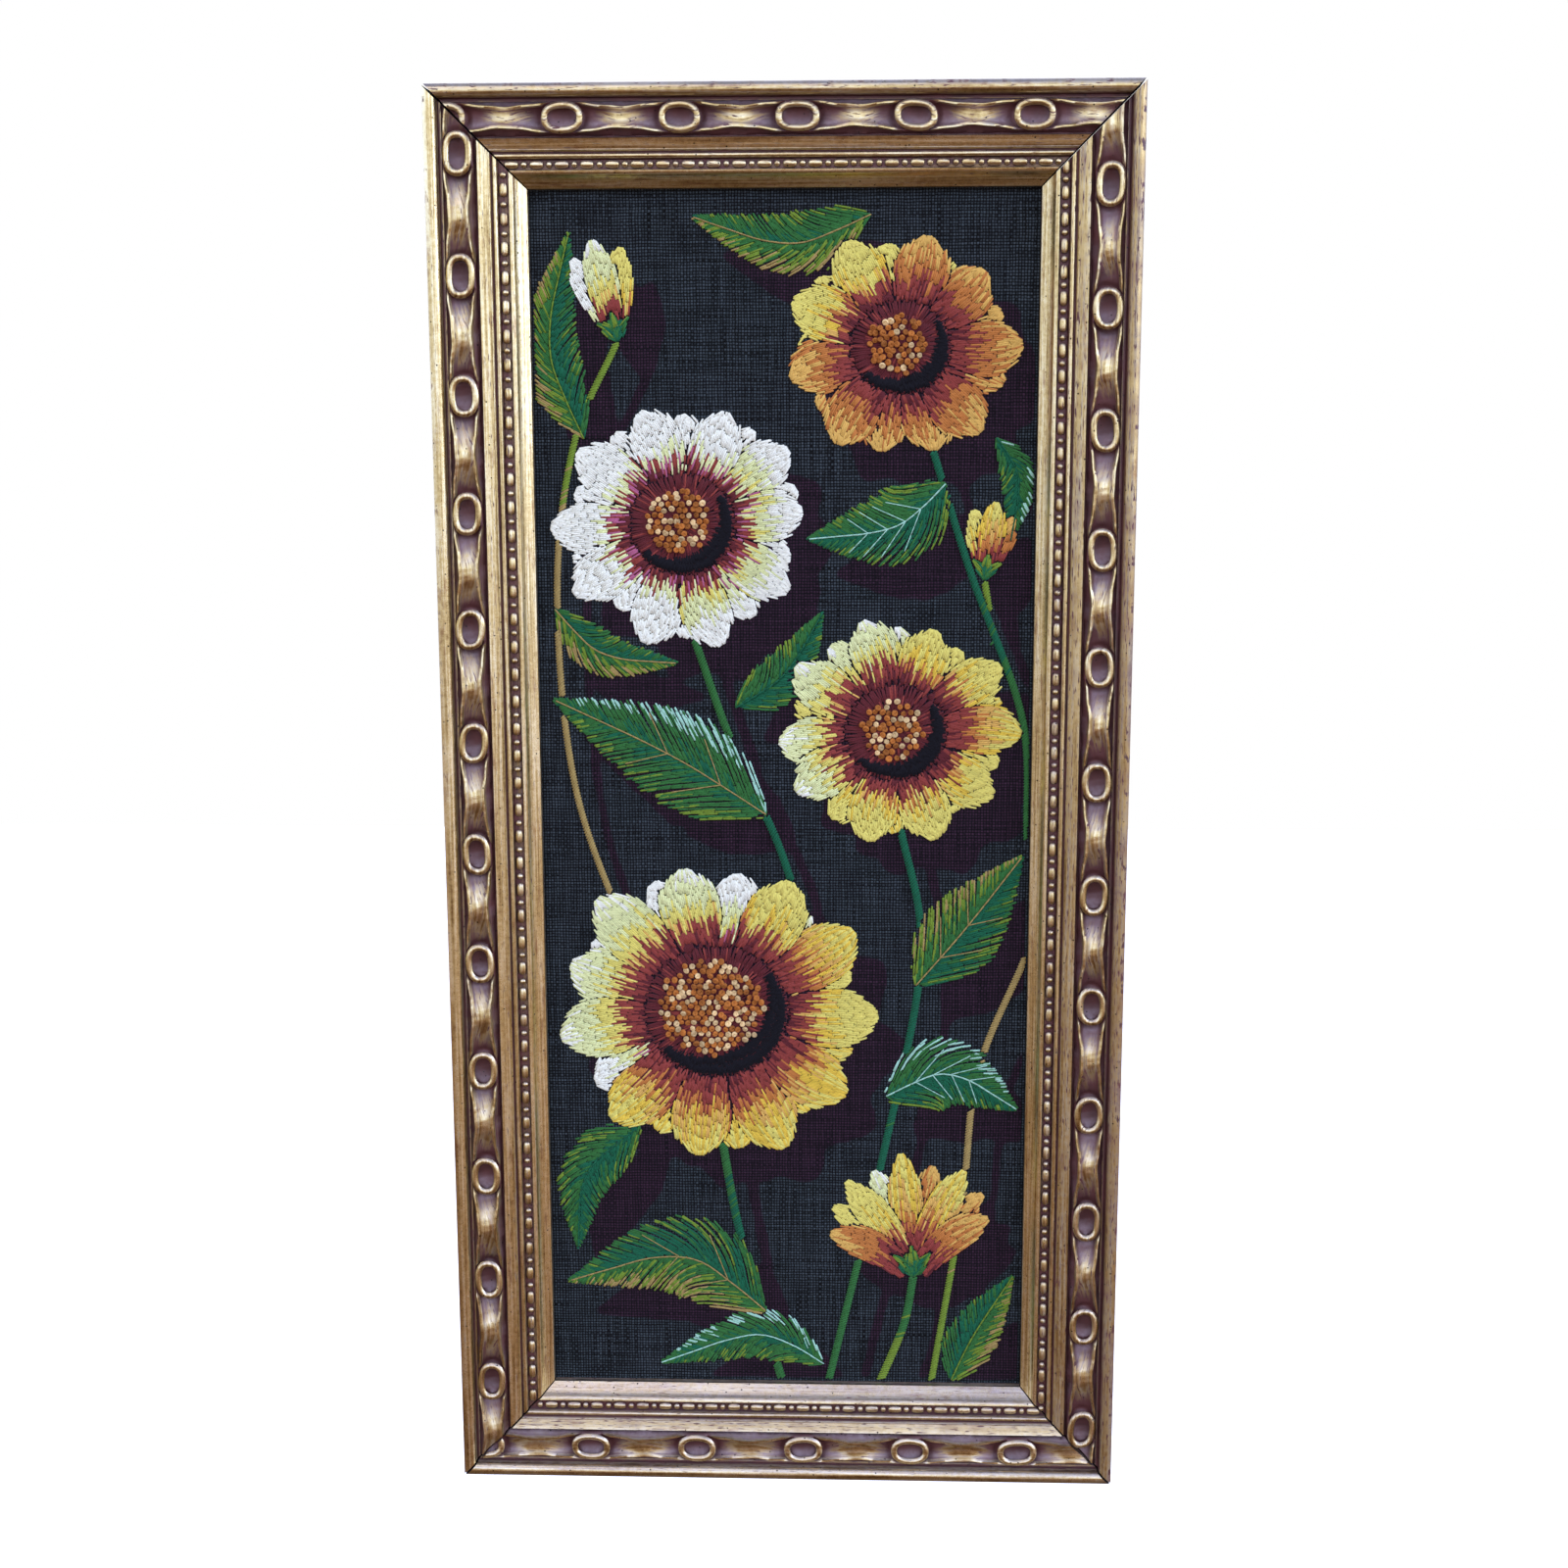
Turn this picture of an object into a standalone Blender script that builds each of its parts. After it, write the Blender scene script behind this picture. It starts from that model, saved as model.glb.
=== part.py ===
"""A framed embroidered picture, modelled lying on its back and stood up by one empty.

Four mitred rails of a carved gilt moulding hold an embroidered cloth in their rebate, and a
plain board backs the cloth. Each piece is drawn with local +Z towards the viewer, and the
empty hang_point turns them all upright to face -Y. The origin is on the flat back of the top
rail, midway along it, where the picture meets its wall. Metres.
"""

import math

import bmesh
import bpy

MM = 0.001

# Driving sizes
FRAME_WIDTH = 276 * MM
FRAME_HEIGHT = 572 * MM
RAIL_FACE = 38 * MM  # outer edge to sight edge
REBATE = 6 * MM  # how far the sight lip covers the cloth
LIP_UNDERSIDE = 7.5 * MM  # height of the rebate above the frame's back
MITRE_GAP = 0.5 * MM  # the corner joints have opened a little
SEAT_GAP = 0.3 * MM  # between pieces that lie on each other
HANG_DROP = 16 * MM  # from the top edge down to the origin, half the rail's flat back
CLOTH_THICK = 1.2 * MM
BOARD_THICK = 3 * MM

# The carved band: a ribbon with raised edges that runs from one oval ring to the next
BAND_START = 6.8 * MM  # inset of the band's outer side
BAND_END = 18.4 * MM
BAND_FLOOR = 18.2 * MM  # height of the band's ground
RING_PITCH = 45.4 * MM
RING_LENGTH = 16.5 * MM
RING_WIDTH = 11.5 * MM
RING_WIRE = 2.1 * MM
RING_RISE = 20.2 * MM  # height of the ring's centreline
RIBBON_WIDE = 5.7 * MM  # half width beside a ring
RIBBON_WAIST = 3.5 * MM  # half width midway between two rings
RIBBON_LOW = 18.9 * MM  # height of the ribbon's middle beside a ring
RIBBON_HIGH = 20.4 * MM  # height of its middle at the waist
RIBBON_EDGE = 0.9 * MM  # how far its two edges stand above its middle
RIBBON_STATIONS = 6  # in each pitch

# The moulding's section from outer edge to sight edge: inset and height above the back, mm.
# A round row is an arc over the top, given by its radius and its centre.
SECTION = [
    dict(inset=0, height=0),
    dict(inset=2.2, height=21.8, round=2.2),  # outer lip
    dict(inset=4.5, height=19.6),
    dict(inset=6.6, height=19.2),  # groove between lip and band
    dict(inset=6.8, height=18.2),
    dict(inset=18.4, height=18.2),  # the band's ground
    dict(inset=18.6, height=17.2),
    dict(inset=19.8, height=17.2),  # groove between band and fillet
    dict(inset=20.0, height=18.5),
    dict(inset=22.4, height=19.0),  # wide fillet
    dict(inset=24.8, height=18.2),
    dict(inset=25.0, height=17.0),
    dict(inset=25.4, height=17.0),
    dict(inset=26.5, height=16.8, round=1.0),  # narrow fillet
    dict(inset=27.7, height=15.0),
    dict(inset=29.5, height=14.9, round=1.4),  # rib of beads and reels
    dict(inset=31.3, height=14.8),
    dict(inset=31.6, height=15.8),
    dict(inset=32.6, height=16.2),  # inner fillet
    dict(inset=33.8, height=15.6),
    dict(inset=34.4, height=13.9),
    dict(inset=36.0, height=12.1),  # cove down to the sight edge
    dict(inset=38.0, height=11.0),
    dict(inset=38.0, height=7.5),  # lip over the cloth
    dict(inset=32.0, height=7.5),
    dict(inset=32.0, height=0),  # rebate
]

# Each rail: its turn about the picture's middle in degrees, and how far its first ring is from
# its left end when its outer edge is up
RAILS = [
    dict(name="rail_top", turn=0, first_ring=53.9 * MM),
    dict(name="rail_left", turn=90, first_ring=42.5 * MM),
    dict(name="rail_bottom", turn=180, first_ring=40.6 * MM),
    dict(name="rail_right", turn=270, first_ring=35.0 * MM),
]


def clear_scene():
    for obj in list(bpy.data.objects):
        bpy.data.objects.remove(obj)


def new_collection(name):
    collection = bpy.data.collections.new(name)
    bpy.context.scene.collection.children.link(collection)
    return collection


def finish(name, hex_colour, roughness, metallic):
    material = bpy.data.materials.new(name)
    material.use_nodes = True
    shader = material.node_tree.nodes["Principled BSDF"]
    srgb = [int(hex_colour[i : i + 2], 16) / 255 for i in (0, 2, 4)]
    shader.inputs["Base Color"].default_value = (*[c**2.2 for c in srgb], 1)
    shader.inputs["Roughness"].default_value = roughness
    shader.inputs["Metallic"].default_value = metallic
    return material


def as_mesh(drawn, name, collection):
    """The curve object made a mesh with its caps welded, and the curve removed."""
    bpy.context.view_layer.update()
    evaluated = drawn.evaluated_get(bpy.context.evaluated_depsgraph_get())
    mesh = bpy.data.meshes.new_from_object(evaluated)
    mesh.transform(drawn.matrix_world)
    bpy.data.objects.remove(drawn)
    edit = bmesh.new()
    edit.from_mesh(mesh)
    bmesh.ops.remove_doubles(edit, verts=edit.verts, dist=1e-6)
    bmesh.ops.recalc_face_normals(edit, faces=edit.faces)
    return new_object(name, edit, collection)


def new_object(name, edit, collection):
    mesh = bpy.data.meshes.new(name)
    edit.to_mesh(mesh)
    edit.free()
    obj = bpy.data.objects.new(name, mesh)
    collection.objects.link(obj)
    return obj


def prism(name, outline, low, high, collection):
    """A flat outline raised from low to high, as a closed mesh."""
    curve = bpy.data.curves.new(name, "CURVE")
    curve.dimensions = "2D"
    curve.fill_mode = "BOTH"
    curve.extrude = (high - low) / 2
    spline = curve.splines.new("POLY")
    spline.points.add(len(outline) - 1)
    for point, (x, y) in zip(spline.points, outline):
        point.co = (x, y, 0, 1)
    spline.use_cyclic_u = True
    drawn = bpy.data.objects.new(name + "_outline", curve)
    drawn.location.z = (high + low) / 2
    collection.objects.link(drawn)
    return as_mesh(drawn, name, collection)


def boolean(obj, operation, other):
    other.hide_render = True
    other.display_type = "WIRE"
    modifier = obj.modifiers.new(operation.title(), "BOOLEAN")
    modifier.operation = operation
    modifier.object = other


def section_outline():
    """SECTION with its rounds drawn as half circles, as (inset, height) in metres."""
    round_steps = 5
    outline = []
    for row in SECTION:
        radius = row.get("round", 0)
        steps = round_steps if radius else 0
        for step in range(steps + 1):
            angle = math.pi * (1 - step / round_steps)
            inset = row["inset"] + radius * math.cos(angle)
            height = row["height"] + radius * math.sin(angle)
            outline.append((inset * MM, height * MM))
    return outline


def plain_moulding(name, length, collection):
    """A straight length along X, with its outer edge at y 0 and its face towards +Z."""
    bar = prism(name, section_outline(), -length / 2, length / 2, collection)
    for vert in bar.data.vertices:
        inset, height, along = vert.co
        vert.co = (-along, -inset, height)
    return bar


def ribbon(name, length, first_ring, helpers):
    """The ribbon: a grid whose width and height follow the rings, extruded to a solid."""
    edit = bmesh.new()
    stations = RIBBON_STATIONS * round(length / RING_PITCH)
    bmesh.ops.create_grid(edit, x_segments=stations, y_segments=4, size=1)
    middle = (BAND_START + BAND_END) / 2
    for vert in edit.verts:
        along = vert.co.x * length / 2
        phase = math.tau * (along + length / 2 - first_ring) / RING_PITCH
        near_ring = (1 + math.cos(phase)) / 2
        half_width = RIBBON_WAIST + (RIBBON_WIDE - RIBBON_WAIST) * near_ring
        height = RIBBON_HIGH + (RIBBON_LOW - RIBBON_HIGH) * near_ring
        height += RIBBON_EDGE * vert.co.y**2
        vert.co = (along, -middle + half_width * vert.co.y, height)
    made = bmesh.ops.extrude_face_region(edit, geom=edit.faces[:])["geom"]
    for vert in [item for item in made if isinstance(item, bmesh.types.BMVert)]:
        vert.co.z = BAND_FLOOR - 1 * MM
    bmesh.ops.recalc_face_normals(edit, faces=edit.faces)
    return new_object(name, edit, helpers)


def rings(name, length, first_ring, helpers):
    """The oval rings over the ribbon's wide places, each a stretched torus."""
    mean_radius = (RING_LENGTH + RING_WIDTH) / 4 - RING_WIRE / 2
    bpy.ops.mesh.primitive_torus_add(
        major_segments=14,
        minor_segments=6,
        major_radius=mean_radius,
        minor_radius=RING_WIRE / 2,
    )
    pattern = bpy.context.object
    stretch_x = (RING_LENGTH - RING_WIRE) / 2 / mean_radius
    stretch_y = (RING_WIDTH - RING_WIRE) / 2 / mean_radius
    middle = (BAND_START + BAND_END) / 2
    edit = bmesh.new()
    for step in range(-1, math.ceil(length / RING_PITCH)):
        along = first_ring + step * RING_PITCH - length / 2
        if abs(along) > length / 2 - BAND_START:
            continue  # wholly outside the mitre
        before = len(edit.verts)
        edit.from_mesh(pattern.data)
        edit.verts.ensure_lookup_table()
        for vert in edit.verts[before:]:
            x, y, z = vert.co
            vert.co = (along + x * stretch_x, -middle + y * stretch_y, RING_RISE + z)
    bpy.data.objects.remove(pattern)
    return new_object(name, edit, helpers)


def mitre_block(name, length, helpers):
    """What a rail keeps of its moulding: all that lies between its two 45 degree cuts."""
    half = length / 2 - MITRE_GAP / math.sqrt(2)
    over = 5 * MM
    deep = RAIL_FACE + 5 * MM
    outline = [(-half - over, over), (half + over, over), (half - deep, -deep), (deep - half, -deep)]
    return prism(name, outline, -5 * MM, 40 * MM, helpers)


def build_rail(rail, gilt, collection, helpers, stand):
    upright = rail["turn"] % 180 == 90
    length = FRAME_HEIGHT if upright else FRAME_WIDTH
    across = FRAME_WIDTH if upright else FRAME_HEIGHT
    name = rail["name"]
    obj = plain_moulding(name, length, collection)
    boolean(obj, "UNION", ribbon(name + "_ribbon", length, rail["first_ring"], helpers))
    boolean(obj, "UNION", rings(name + "_rings", length, rail["first_ring"], helpers))
    boolean(obj, "INTERSECT", mitre_block(name + "_mitres", length, helpers))
    turn = math.radians(rail["turn"])
    for piece in [obj] + [modifier.object for modifier in obj.modifiers]:
        piece.parent = stand
        piece.location = (-math.sin(turn) * across / 2, math.cos(turn) * across / 2, 0)
        piece.rotation_euler = (0, 0, turn)
    obj.data.materials.append(gilt)


def build_rebate_sheet(name, low, high, material, collection, stand):
    """A flat sheet that fills the rebate, such as the cloth or its board."""
    half_width = FRAME_WIDTH / 2 - RAIL_FACE + REBATE - SEAT_GAP
    half_height = FRAME_HEIGHT / 2 - RAIL_FACE + REBATE - SEAT_GAP
    bpy.ops.mesh.primitive_cube_add(size=2, location=(0, 0, (low + high) / 2))
    sheet = bpy.context.object
    sheet.name = name
    for owner in list(sheet.users_collection):
        owner.objects.unlink(sheet)
    collection.objects.link(sheet)
    for vert in sheet.data.vertices:
        x, y, z = vert.co
        vert.co = (x * half_width, y * half_height, z * (high - low) / 2)
    sheet.parent = stand
    sheet.data.materials.append(material)


def main():
    clear_scene()
    picture = new_collection("framed_embroidered_picture")
    helpers = new_collection("helpers")
    stand = bpy.data.objects.new("hang_point", None)
    picture.objects.link(stand)
    stand.rotation_euler = (math.radians(90), 0, 0)
    stand.location = (0, 0, HANG_DROP - FRAME_HEIGHT / 2)
    gilt = finish("gilt_wood", "A5854A", 0.42, 0.6)
    linen = finish("charcoal_linen", "2C3230", 0.95, 0.0)
    card = finish("hardboard", "7A5C3C", 0.85, 0.0)
    for rail in RAILS:
        build_rail(rail, gilt, picture, helpers, stand)
    cloth_face = LIP_UNDERSIDE - SEAT_GAP
    board_face = cloth_face - CLOTH_THICK - SEAT_GAP
    cloth_back = cloth_face - CLOTH_THICK
    build_rebate_sheet("embroidered_cloth", cloth_back, cloth_face, linen, picture, stand)
    board_back = board_face - BOARD_THICK
    build_rebate_sheet("mounting_board", board_back, board_face, card, picture, stand)
    bpy.context.view_layer.update()


main()
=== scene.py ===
import math

import bmesh
import bpy
import numpy as np
from mathutils import Matrix, Vector


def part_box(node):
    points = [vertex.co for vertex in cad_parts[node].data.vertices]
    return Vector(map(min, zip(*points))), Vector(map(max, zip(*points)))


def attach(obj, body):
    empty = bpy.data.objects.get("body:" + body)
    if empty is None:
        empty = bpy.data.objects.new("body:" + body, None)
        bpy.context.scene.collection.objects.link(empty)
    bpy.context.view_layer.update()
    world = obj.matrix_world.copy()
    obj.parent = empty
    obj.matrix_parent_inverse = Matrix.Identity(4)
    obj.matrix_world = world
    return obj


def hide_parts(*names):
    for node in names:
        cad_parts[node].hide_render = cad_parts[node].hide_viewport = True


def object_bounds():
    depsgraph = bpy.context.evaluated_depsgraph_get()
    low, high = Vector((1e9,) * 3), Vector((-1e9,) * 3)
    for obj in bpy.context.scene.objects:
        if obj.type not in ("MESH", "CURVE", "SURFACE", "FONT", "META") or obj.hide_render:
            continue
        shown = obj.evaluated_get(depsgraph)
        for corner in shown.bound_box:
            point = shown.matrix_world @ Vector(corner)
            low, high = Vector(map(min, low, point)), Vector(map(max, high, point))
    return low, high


# A framed crewel picture: gilt moulding with ribbon and rings, linen worked in wool
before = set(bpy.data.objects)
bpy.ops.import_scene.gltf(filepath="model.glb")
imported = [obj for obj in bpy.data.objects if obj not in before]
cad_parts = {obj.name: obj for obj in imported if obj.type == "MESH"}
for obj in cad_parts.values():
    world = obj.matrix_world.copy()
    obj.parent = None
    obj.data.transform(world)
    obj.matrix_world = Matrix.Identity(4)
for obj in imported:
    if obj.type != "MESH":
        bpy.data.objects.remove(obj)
cadLow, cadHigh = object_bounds()
mm = 0.001
frameWide = cadHigh.x - cadLow.x
frameDeep = cadHigh.y - cadLow.y
frameTall = cadHigh.z - cadLow.z
frameMiddle = Vector(((cadLow.x + cadHigh.x) / 2, 0, (cadLow.z + cadHigh.z) / 2))
print("frame loaded:", len(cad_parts), "nodes")


def toLinear(hexColour):
    srgb = [int(hexColour[i : i + 2], 16) / 255 for i in (0, 2, 4)]
    return (*[c / 12.92 if c <= 0.04045 else ((c + 0.055) / 1.055) ** 2.4 for c in srgb], 1.0)


def addNode(tree, kind, inputs=None, stops=(), **settings):
    # an input is a value, a socket, or a node, whose first output it takes; stops fill a colour ramp
    # a Mix node's numbers are inputs 2 and 3, its colours inputs 6 and 7, and its mixed colour is output 2
    node = tree.nodes.new(kind)
    for key, value in settings.items():
        setattr(node, key, value)
    for slot, value in (inputs or {}).items():
        if isinstance(value, bpy.types.Node):
            value = value.outputs[0]
        if isinstance(value, bpy.types.NodeSocket):
            tree.links.new(value, node.inputs[slot])
        else:
            node.inputs[slot].default_value = value
    for index, (position, colour) in enumerate(stops):  # a new ramp has two stops
        stop = node.color_ramp.elements[index] if index < 2 else node.color_ramp.elements.new(position)
        stop.position, stop.color = position, colour
    return node


def newMaterial(name):
    material = bpy.data.materials.new(name)
    material.use_nodes = True
    tree = material.node_tree
    return material, tree, tree.nodes["Principled BSDF"]


def addObject(name, data):
    thing = bpy.data.objects.new(name, data)
    bpy.context.scene.collection.objects.link(thing)
    return thing


def finishPiece(name, bm, materials, sharpAngle=40):
    mesh = bpy.data.meshes.new(name)
    bm.to_mesh(mesh)
    bm.free()
    for material in materials:
        mesh.materials.append(material)
    mesh.shade_smooth()
    mesh.set_sharp_from_angle(angle=math.radians(sharpAngle))
    return addObject(name, mesh)


def vertsIn(geometry):
    return [item for item in geometry if isinstance(item, bmesh.types.BMVert)]


def spinRound(bm, circle, steps):
    edges = list({edge for vert in circle for edge in vert.link_edges})
    bmesh.ops.spin(
        bm, geom=circle + edges, axis=(0, 0, 1), cent=(0, 0, 0), angle=math.tau, steps=steps, use_merge=True
    )


# camera: a little right of the middle and above it, looking slightly down
camera = dict(lens=47.25, right=28.6 * mm, above=157 * mm, away=812 * mm, pitch=-9.88, roll=0.14, yaw=1.99)
cameraData = bpy.data.cameras.new("camera")
cameraData.lens = camera["lens"]
cameraData.sensor_width = 36
cameraObject = addObject("camera", cameraData)
cameraObject.location = (
    frameMiddle.x + camera["right"],
    cadLow.y - camera["away"],
    frameMiddle.z + camera["above"],
)
cameraObject.rotation_euler = [math.radians(a) for a in (90 + camera["pitch"], camera["roll"], camera["yaw"])]
bpy.context.scene.camera = cameraObject


# Aged gilding: bronze gilding rubbed over gesso, so metal on the ridges, dark wax in the hollows
def gildingMaterial():
    material, tree, shader = newMaterial("rubbed bronze gilding")
    railMap = addNode(tree, "ShaderNodeUVMap", uv_map="rail")
    hollow = addNode(tree, "ShaderNodeAttribute", attribute_name="hollow").outputs["Fac"]
    dustAndSkyLight = addNode(tree, "ShaderNodeAttribute", attribute_name="dustAndSkyLight").outputs["Fac"]
    place = addNode(tree, "ShaderNodeTexCoord").outputs["Object"]
    # marks drawn out along the rail: how many in a metre along it and across it, detail, roughness
    drawnOut = dict(
        rub=((20, 830, 1), 3, 0.4),  # rub marks: 50 mm long and 1.2 mm wide
        scuff=((200, 1650, 1), 3, 0.5),  # scuffs through to the wax: 5 mm long and 0.6 mm wide
        patch=((60, 260, 1), 6, 0.65),  # thin leaf: 17 mm long and 4 mm wide
    )
    # marks that run no way: how many in a metre, detail, roughness
    allOver = dict(
        cloud=(110, 5, 0.5),  # cloudy wear, 9 mm across
        mottle=(480, 4, 0.65),  # worn leaf, 2 mm across
        grain=(1700, 2, 0.5),  # gesso grain, 0.6 mm
    )
    marks = {}
    for name, (scale, detail, roughness) in {**drawnOut, **allOver}.items():
        where = place
        if name in drawnOut:
            where, scale = addNode(tree, "ShaderNodeMapping", {"Vector": railMap, "Scale": scale}), 1
        look = {"Vector": where, "Scale": scale, "Detail": detail, "Roughness": roughness}
        marks[name] = addNode(tree, "ShaderNodeTexNoise", look)
    # pinholes: 0.4 mm across, gone by 0.8 mm, about one in every 4 mm
    cells = addNode(tree, "ShaderNodeTexVoronoi", {"Vector": place, "Scale": 330})
    speck = addNode(
        tree,
        "ShaderNodeMapRange",
        {"Value": cells, "From Min": 0.07, "From Max": 0.14, "To Min": 1, "To Max": 0},
    )
    chance = addNode(tree, "ShaderNodeSeparateColor", {"Color": cells.outputs["Color"]})
    some = addNode(tree, "ShaderNodeMath", {0: chance, 1: 0.45}, operation="GREATER_THAN")
    pinholes = addNode(tree, "ShaderNodeMath", {0: speck, 1: some}, operation="MULTIPLY")

    # how much wax lies here: the hollow's own, more or less by the marks
    level = hollow
    for name, share in dict(cloud=0.5, mottle=0.36, rub=0.8).items():
        about = {0: marks[name], 1: share, 2: -share / 2}
        shift = addNode(tree, "ShaderNodeMath", about, operation="MULTIPLY_ADD")
        level = addNode(tree, "ShaderNodeMath", {0: level, 1: shift}, operation="ADD")
    scuffed = addNode(
        tree,
        "ShaderNodeMapRange",
        {"Value": marks["scuff"], "From Min": 0.58, "From Max": 0.66, "To Max": 0.5},
    )
    level = addNode(tree, "ShaderNodeMath", {0: level, 1: scuffed}, operation="ADD")
    wax = addNode(
        tree,
        "ShaderNodeMapRange",
        {"Value": level, "From Min": 0.12, "From Max": 0.92},
        interpolation_type="SMOOTHSTEP",
    )

    # the gold, and thin places where the red-brown bole shows
    tone = addNode(tree, "ShaderNodeMix", {0: 0.3, 2: marks["rub"], 3: marks["mottle"]}, data_type="FLOAT")
    gold = addNode(
        tree,
        "ShaderNodeValToRGB",
        {"Fac": tone},
        stops=[(0.3, toLinear("7B6035")), (0.47, toLinear("C8B27A")), (0.66, toLinear("F0E7BF"))],
    )
    bare = addNode(
        tree,
        "ShaderNodeMapRange",
        {"Value": marks["patch"], "From Min": 0.56, "From Max": 0.68, "To Max": 0.6},
    )
    thin = addNode(tree, "ShaderNodeMix", {0: bare, 6: gold, 7: toLinear("7A4A38")}, data_type="RGBA")
    # thin wax is a warm brown glaze, thick wax is nearly black
    thick = addNode(
        tree,
        "ShaderNodeMix",
        {0: marks["cloud"], 6: toLinear("1C0A0D"), 7: toLinear("74423E")},
        data_type="RGBA",
    )
    depth = addNode(tree, "ShaderNodeMapRange", {"Value": wax, "From Min": 0.2, "From Max": 0.8})
    glaze = addNode(
        tree, "ShaderNodeMix", {0: depth, 6: toLinear("86643A"), 7: thick.outputs[2]}, data_type="RGBA"
    )
    # dust has settled where a hollow faces up; the same lavender grey also paints the cool sky light that
    # up-facing hollows catch
    lie = addNode(tree, "ShaderNodeNewGeometry")
    upward = addNode(tree, "ShaderNodeSeparateXYZ", {0: lie.outputs["Normal"]}).outputs[2]
    settledAndSkyLit = addNode(
        tree, "ShaderNodeMapRange", {"Value": upward, "From Min": -0.05, "From Max": 0.42, "To Min": 0.1}
    )
    dustAndSkyLightHere = addNode(tree, "ShaderNodeMath", {0: dustAndSkyLight, 1: marks["mottle"]}, operation="MULTIPLY")
    dustAndSkyLightAmount = addNode(tree, "ShaderNodeMath", {0: dustAndSkyLightHere, 1: settledAndSkyLit}, operation="MULTIPLY")
    dustAndSkyLightMixed = addNode(
        tree, "ShaderNodeMix", {0: dustAndSkyLightAmount, 6: glaze.outputs[2], 7: toLinear("B0A2A8")}, data_type="RGBA"
    )
    both = addNode(tree, "ShaderNodeMix", {0: wax, 6: thin.outputs[2], 7: dustAndSkyLightMixed.outputs[2]}, data_type="RGBA")
    # and a thin grey film lies on whatever faces up, but for the wax; it also paints the pale sky light that
    # up-facing faces catch
    filmAndSkyLight = addNode(tree, "ShaderNodeMapRange", {"Value": upward, "From Min": 0.1, "From Max": 0.55})
    bared = addNode(tree, "ShaderNodeMapRange", {"Value": wax, "To Min": 1.0, "To Max": 0.15})
    filmAndSkyLightLeft = addNode(tree, "ShaderNodeMath", {0: filmAndSkyLight, 1: bared}, operation="MULTIPLY")
    filmAndSkyLightHere = addNode(tree, "ShaderNodeMath", {0: filmAndSkyLightLeft, 1: marks["mottle"]}, operation="MULTIPLY")
    filmedAndSkyLit = addNode(
        tree, "ShaderNodeMix", {0: filmAndSkyLightHere, 6: both.outputs[2], 7: toLinear("C2B6BA")}, data_type="RGBA"
    )
    specked = addNode(
        tree, "ShaderNodeMix", {0: pinholes, 6: filmedAndSkyLit.outputs[2], 7: toLinear("140B0A")}, data_type="RGBA"
    )
    tree.links.new(specked.outputs[2], shader.inputs["Base Color"])

    # bare gold is metal and fairly glossy, wax is neither
    metal = addNode(
        tree,
        "ShaderNodeMapRange",
        {"Value": wax, "From Min": 0.2, "From Max": 0.9, "To Min": 0.95, "To Max": 0.25},
    )
    tree.links.new(metal.outputs[0], shader.inputs["Metallic"])
    dull = addNode(tree, "ShaderNodeMapRange", {"Value": wax, "To Min": 0.23, "To Max": 0.44})
    duller = addNode(tree, "ShaderNodeMath", {0: marks["grain"], 1: 0.12, 2: dull}, operation="MULTIPLY_ADD")
    tree.links.new(duller.outputs[0], shader.inputs["Roughness"])
    relief = marks["grain"]
    for name, share in dict(mottle=0.6, rub=0.5).items():
        added = {0: marks[name], 1: share, 2: relief}
        relief = addNode(tree, "ShaderNodeMath", added, operation="MULTIPLY_ADD")
    pitted = addNode(tree, "ShaderNodeMath", {0: relief, 1: pinholes}, operation="SUBTRACT")
    bump = addNode(tree, "ShaderNodeBump", {"Strength": 0.18, "Distance": 0.0002, "Height": pitted})
    tree.links.new(bump.outputs[0], shader.inputs["Normal"])
    return material


# Bare pine: planed softwood gone brown, so matt and faintly streaked along the rail
def pineMaterial():
    material, tree, shader = newMaterial("aged bare pine")
    railMap = addNode(tree, "ShaderNodeUVMap", uv_map="rail")
    # streaks 80 mm long and 1.7 mm wide
    stretched = addNode(tree, "ShaderNodeMapping", {"Vector": railMap, "Scale": (12, 600, 1)})
    grain = addNode(tree, "ShaderNodeTexNoise", {"Vector": stretched, "Scale": 1, "Detail": 5})
    browns = {0: grain, 6: toLinear("5E4226"), 7: toLinear("B48E5C")}
    tint = addNode(tree, "ShaderNodeMix", browns, data_type="RGBA")
    tree.links.new(tint.outputs[2], shader.inputs["Base Color"])
    shader.inputs["Roughness"].default_value = 0.75
    bump = addNode(tree, "ShaderNodeBump", {"Strength": 0.3, "Distance": 0.0003, "Height": grain})
    tree.links.new(bump.outputs[0], shader.inputs["Normal"])
    return material


# Cut ends: end grain soaked with stain and old glue, and painted nearly black as the shade inside the narrow
# mitre gaps
def endGrainAndGapShadeMaterial():
    material, tree, shader = newMaterial("stained end grain")
    place = addNode(tree, "ShaderNodeTexCoord").outputs["Object"]
    pores = addNode(tree, "ShaderNodeTexNoise", {"Vector": place, "Scale": 1500, "Detail": 3})
    browns = {0: pores, 6: toLinear("0E0806"), 7: toLinear("2A1A12")}
    tint = addNode(tree, "ShaderNodeMix", browns, data_type="RGBA")
    tree.links.new(tint.outputs[2], shader.inputs["Base Color"])
    shader.inputs["Roughness"].default_value = 0.9
    return material


gilding, pine, endGrainAndGapShade = gildingMaterial(), pineMaterial(), endGrainAndGapShadeMaterial()

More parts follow.
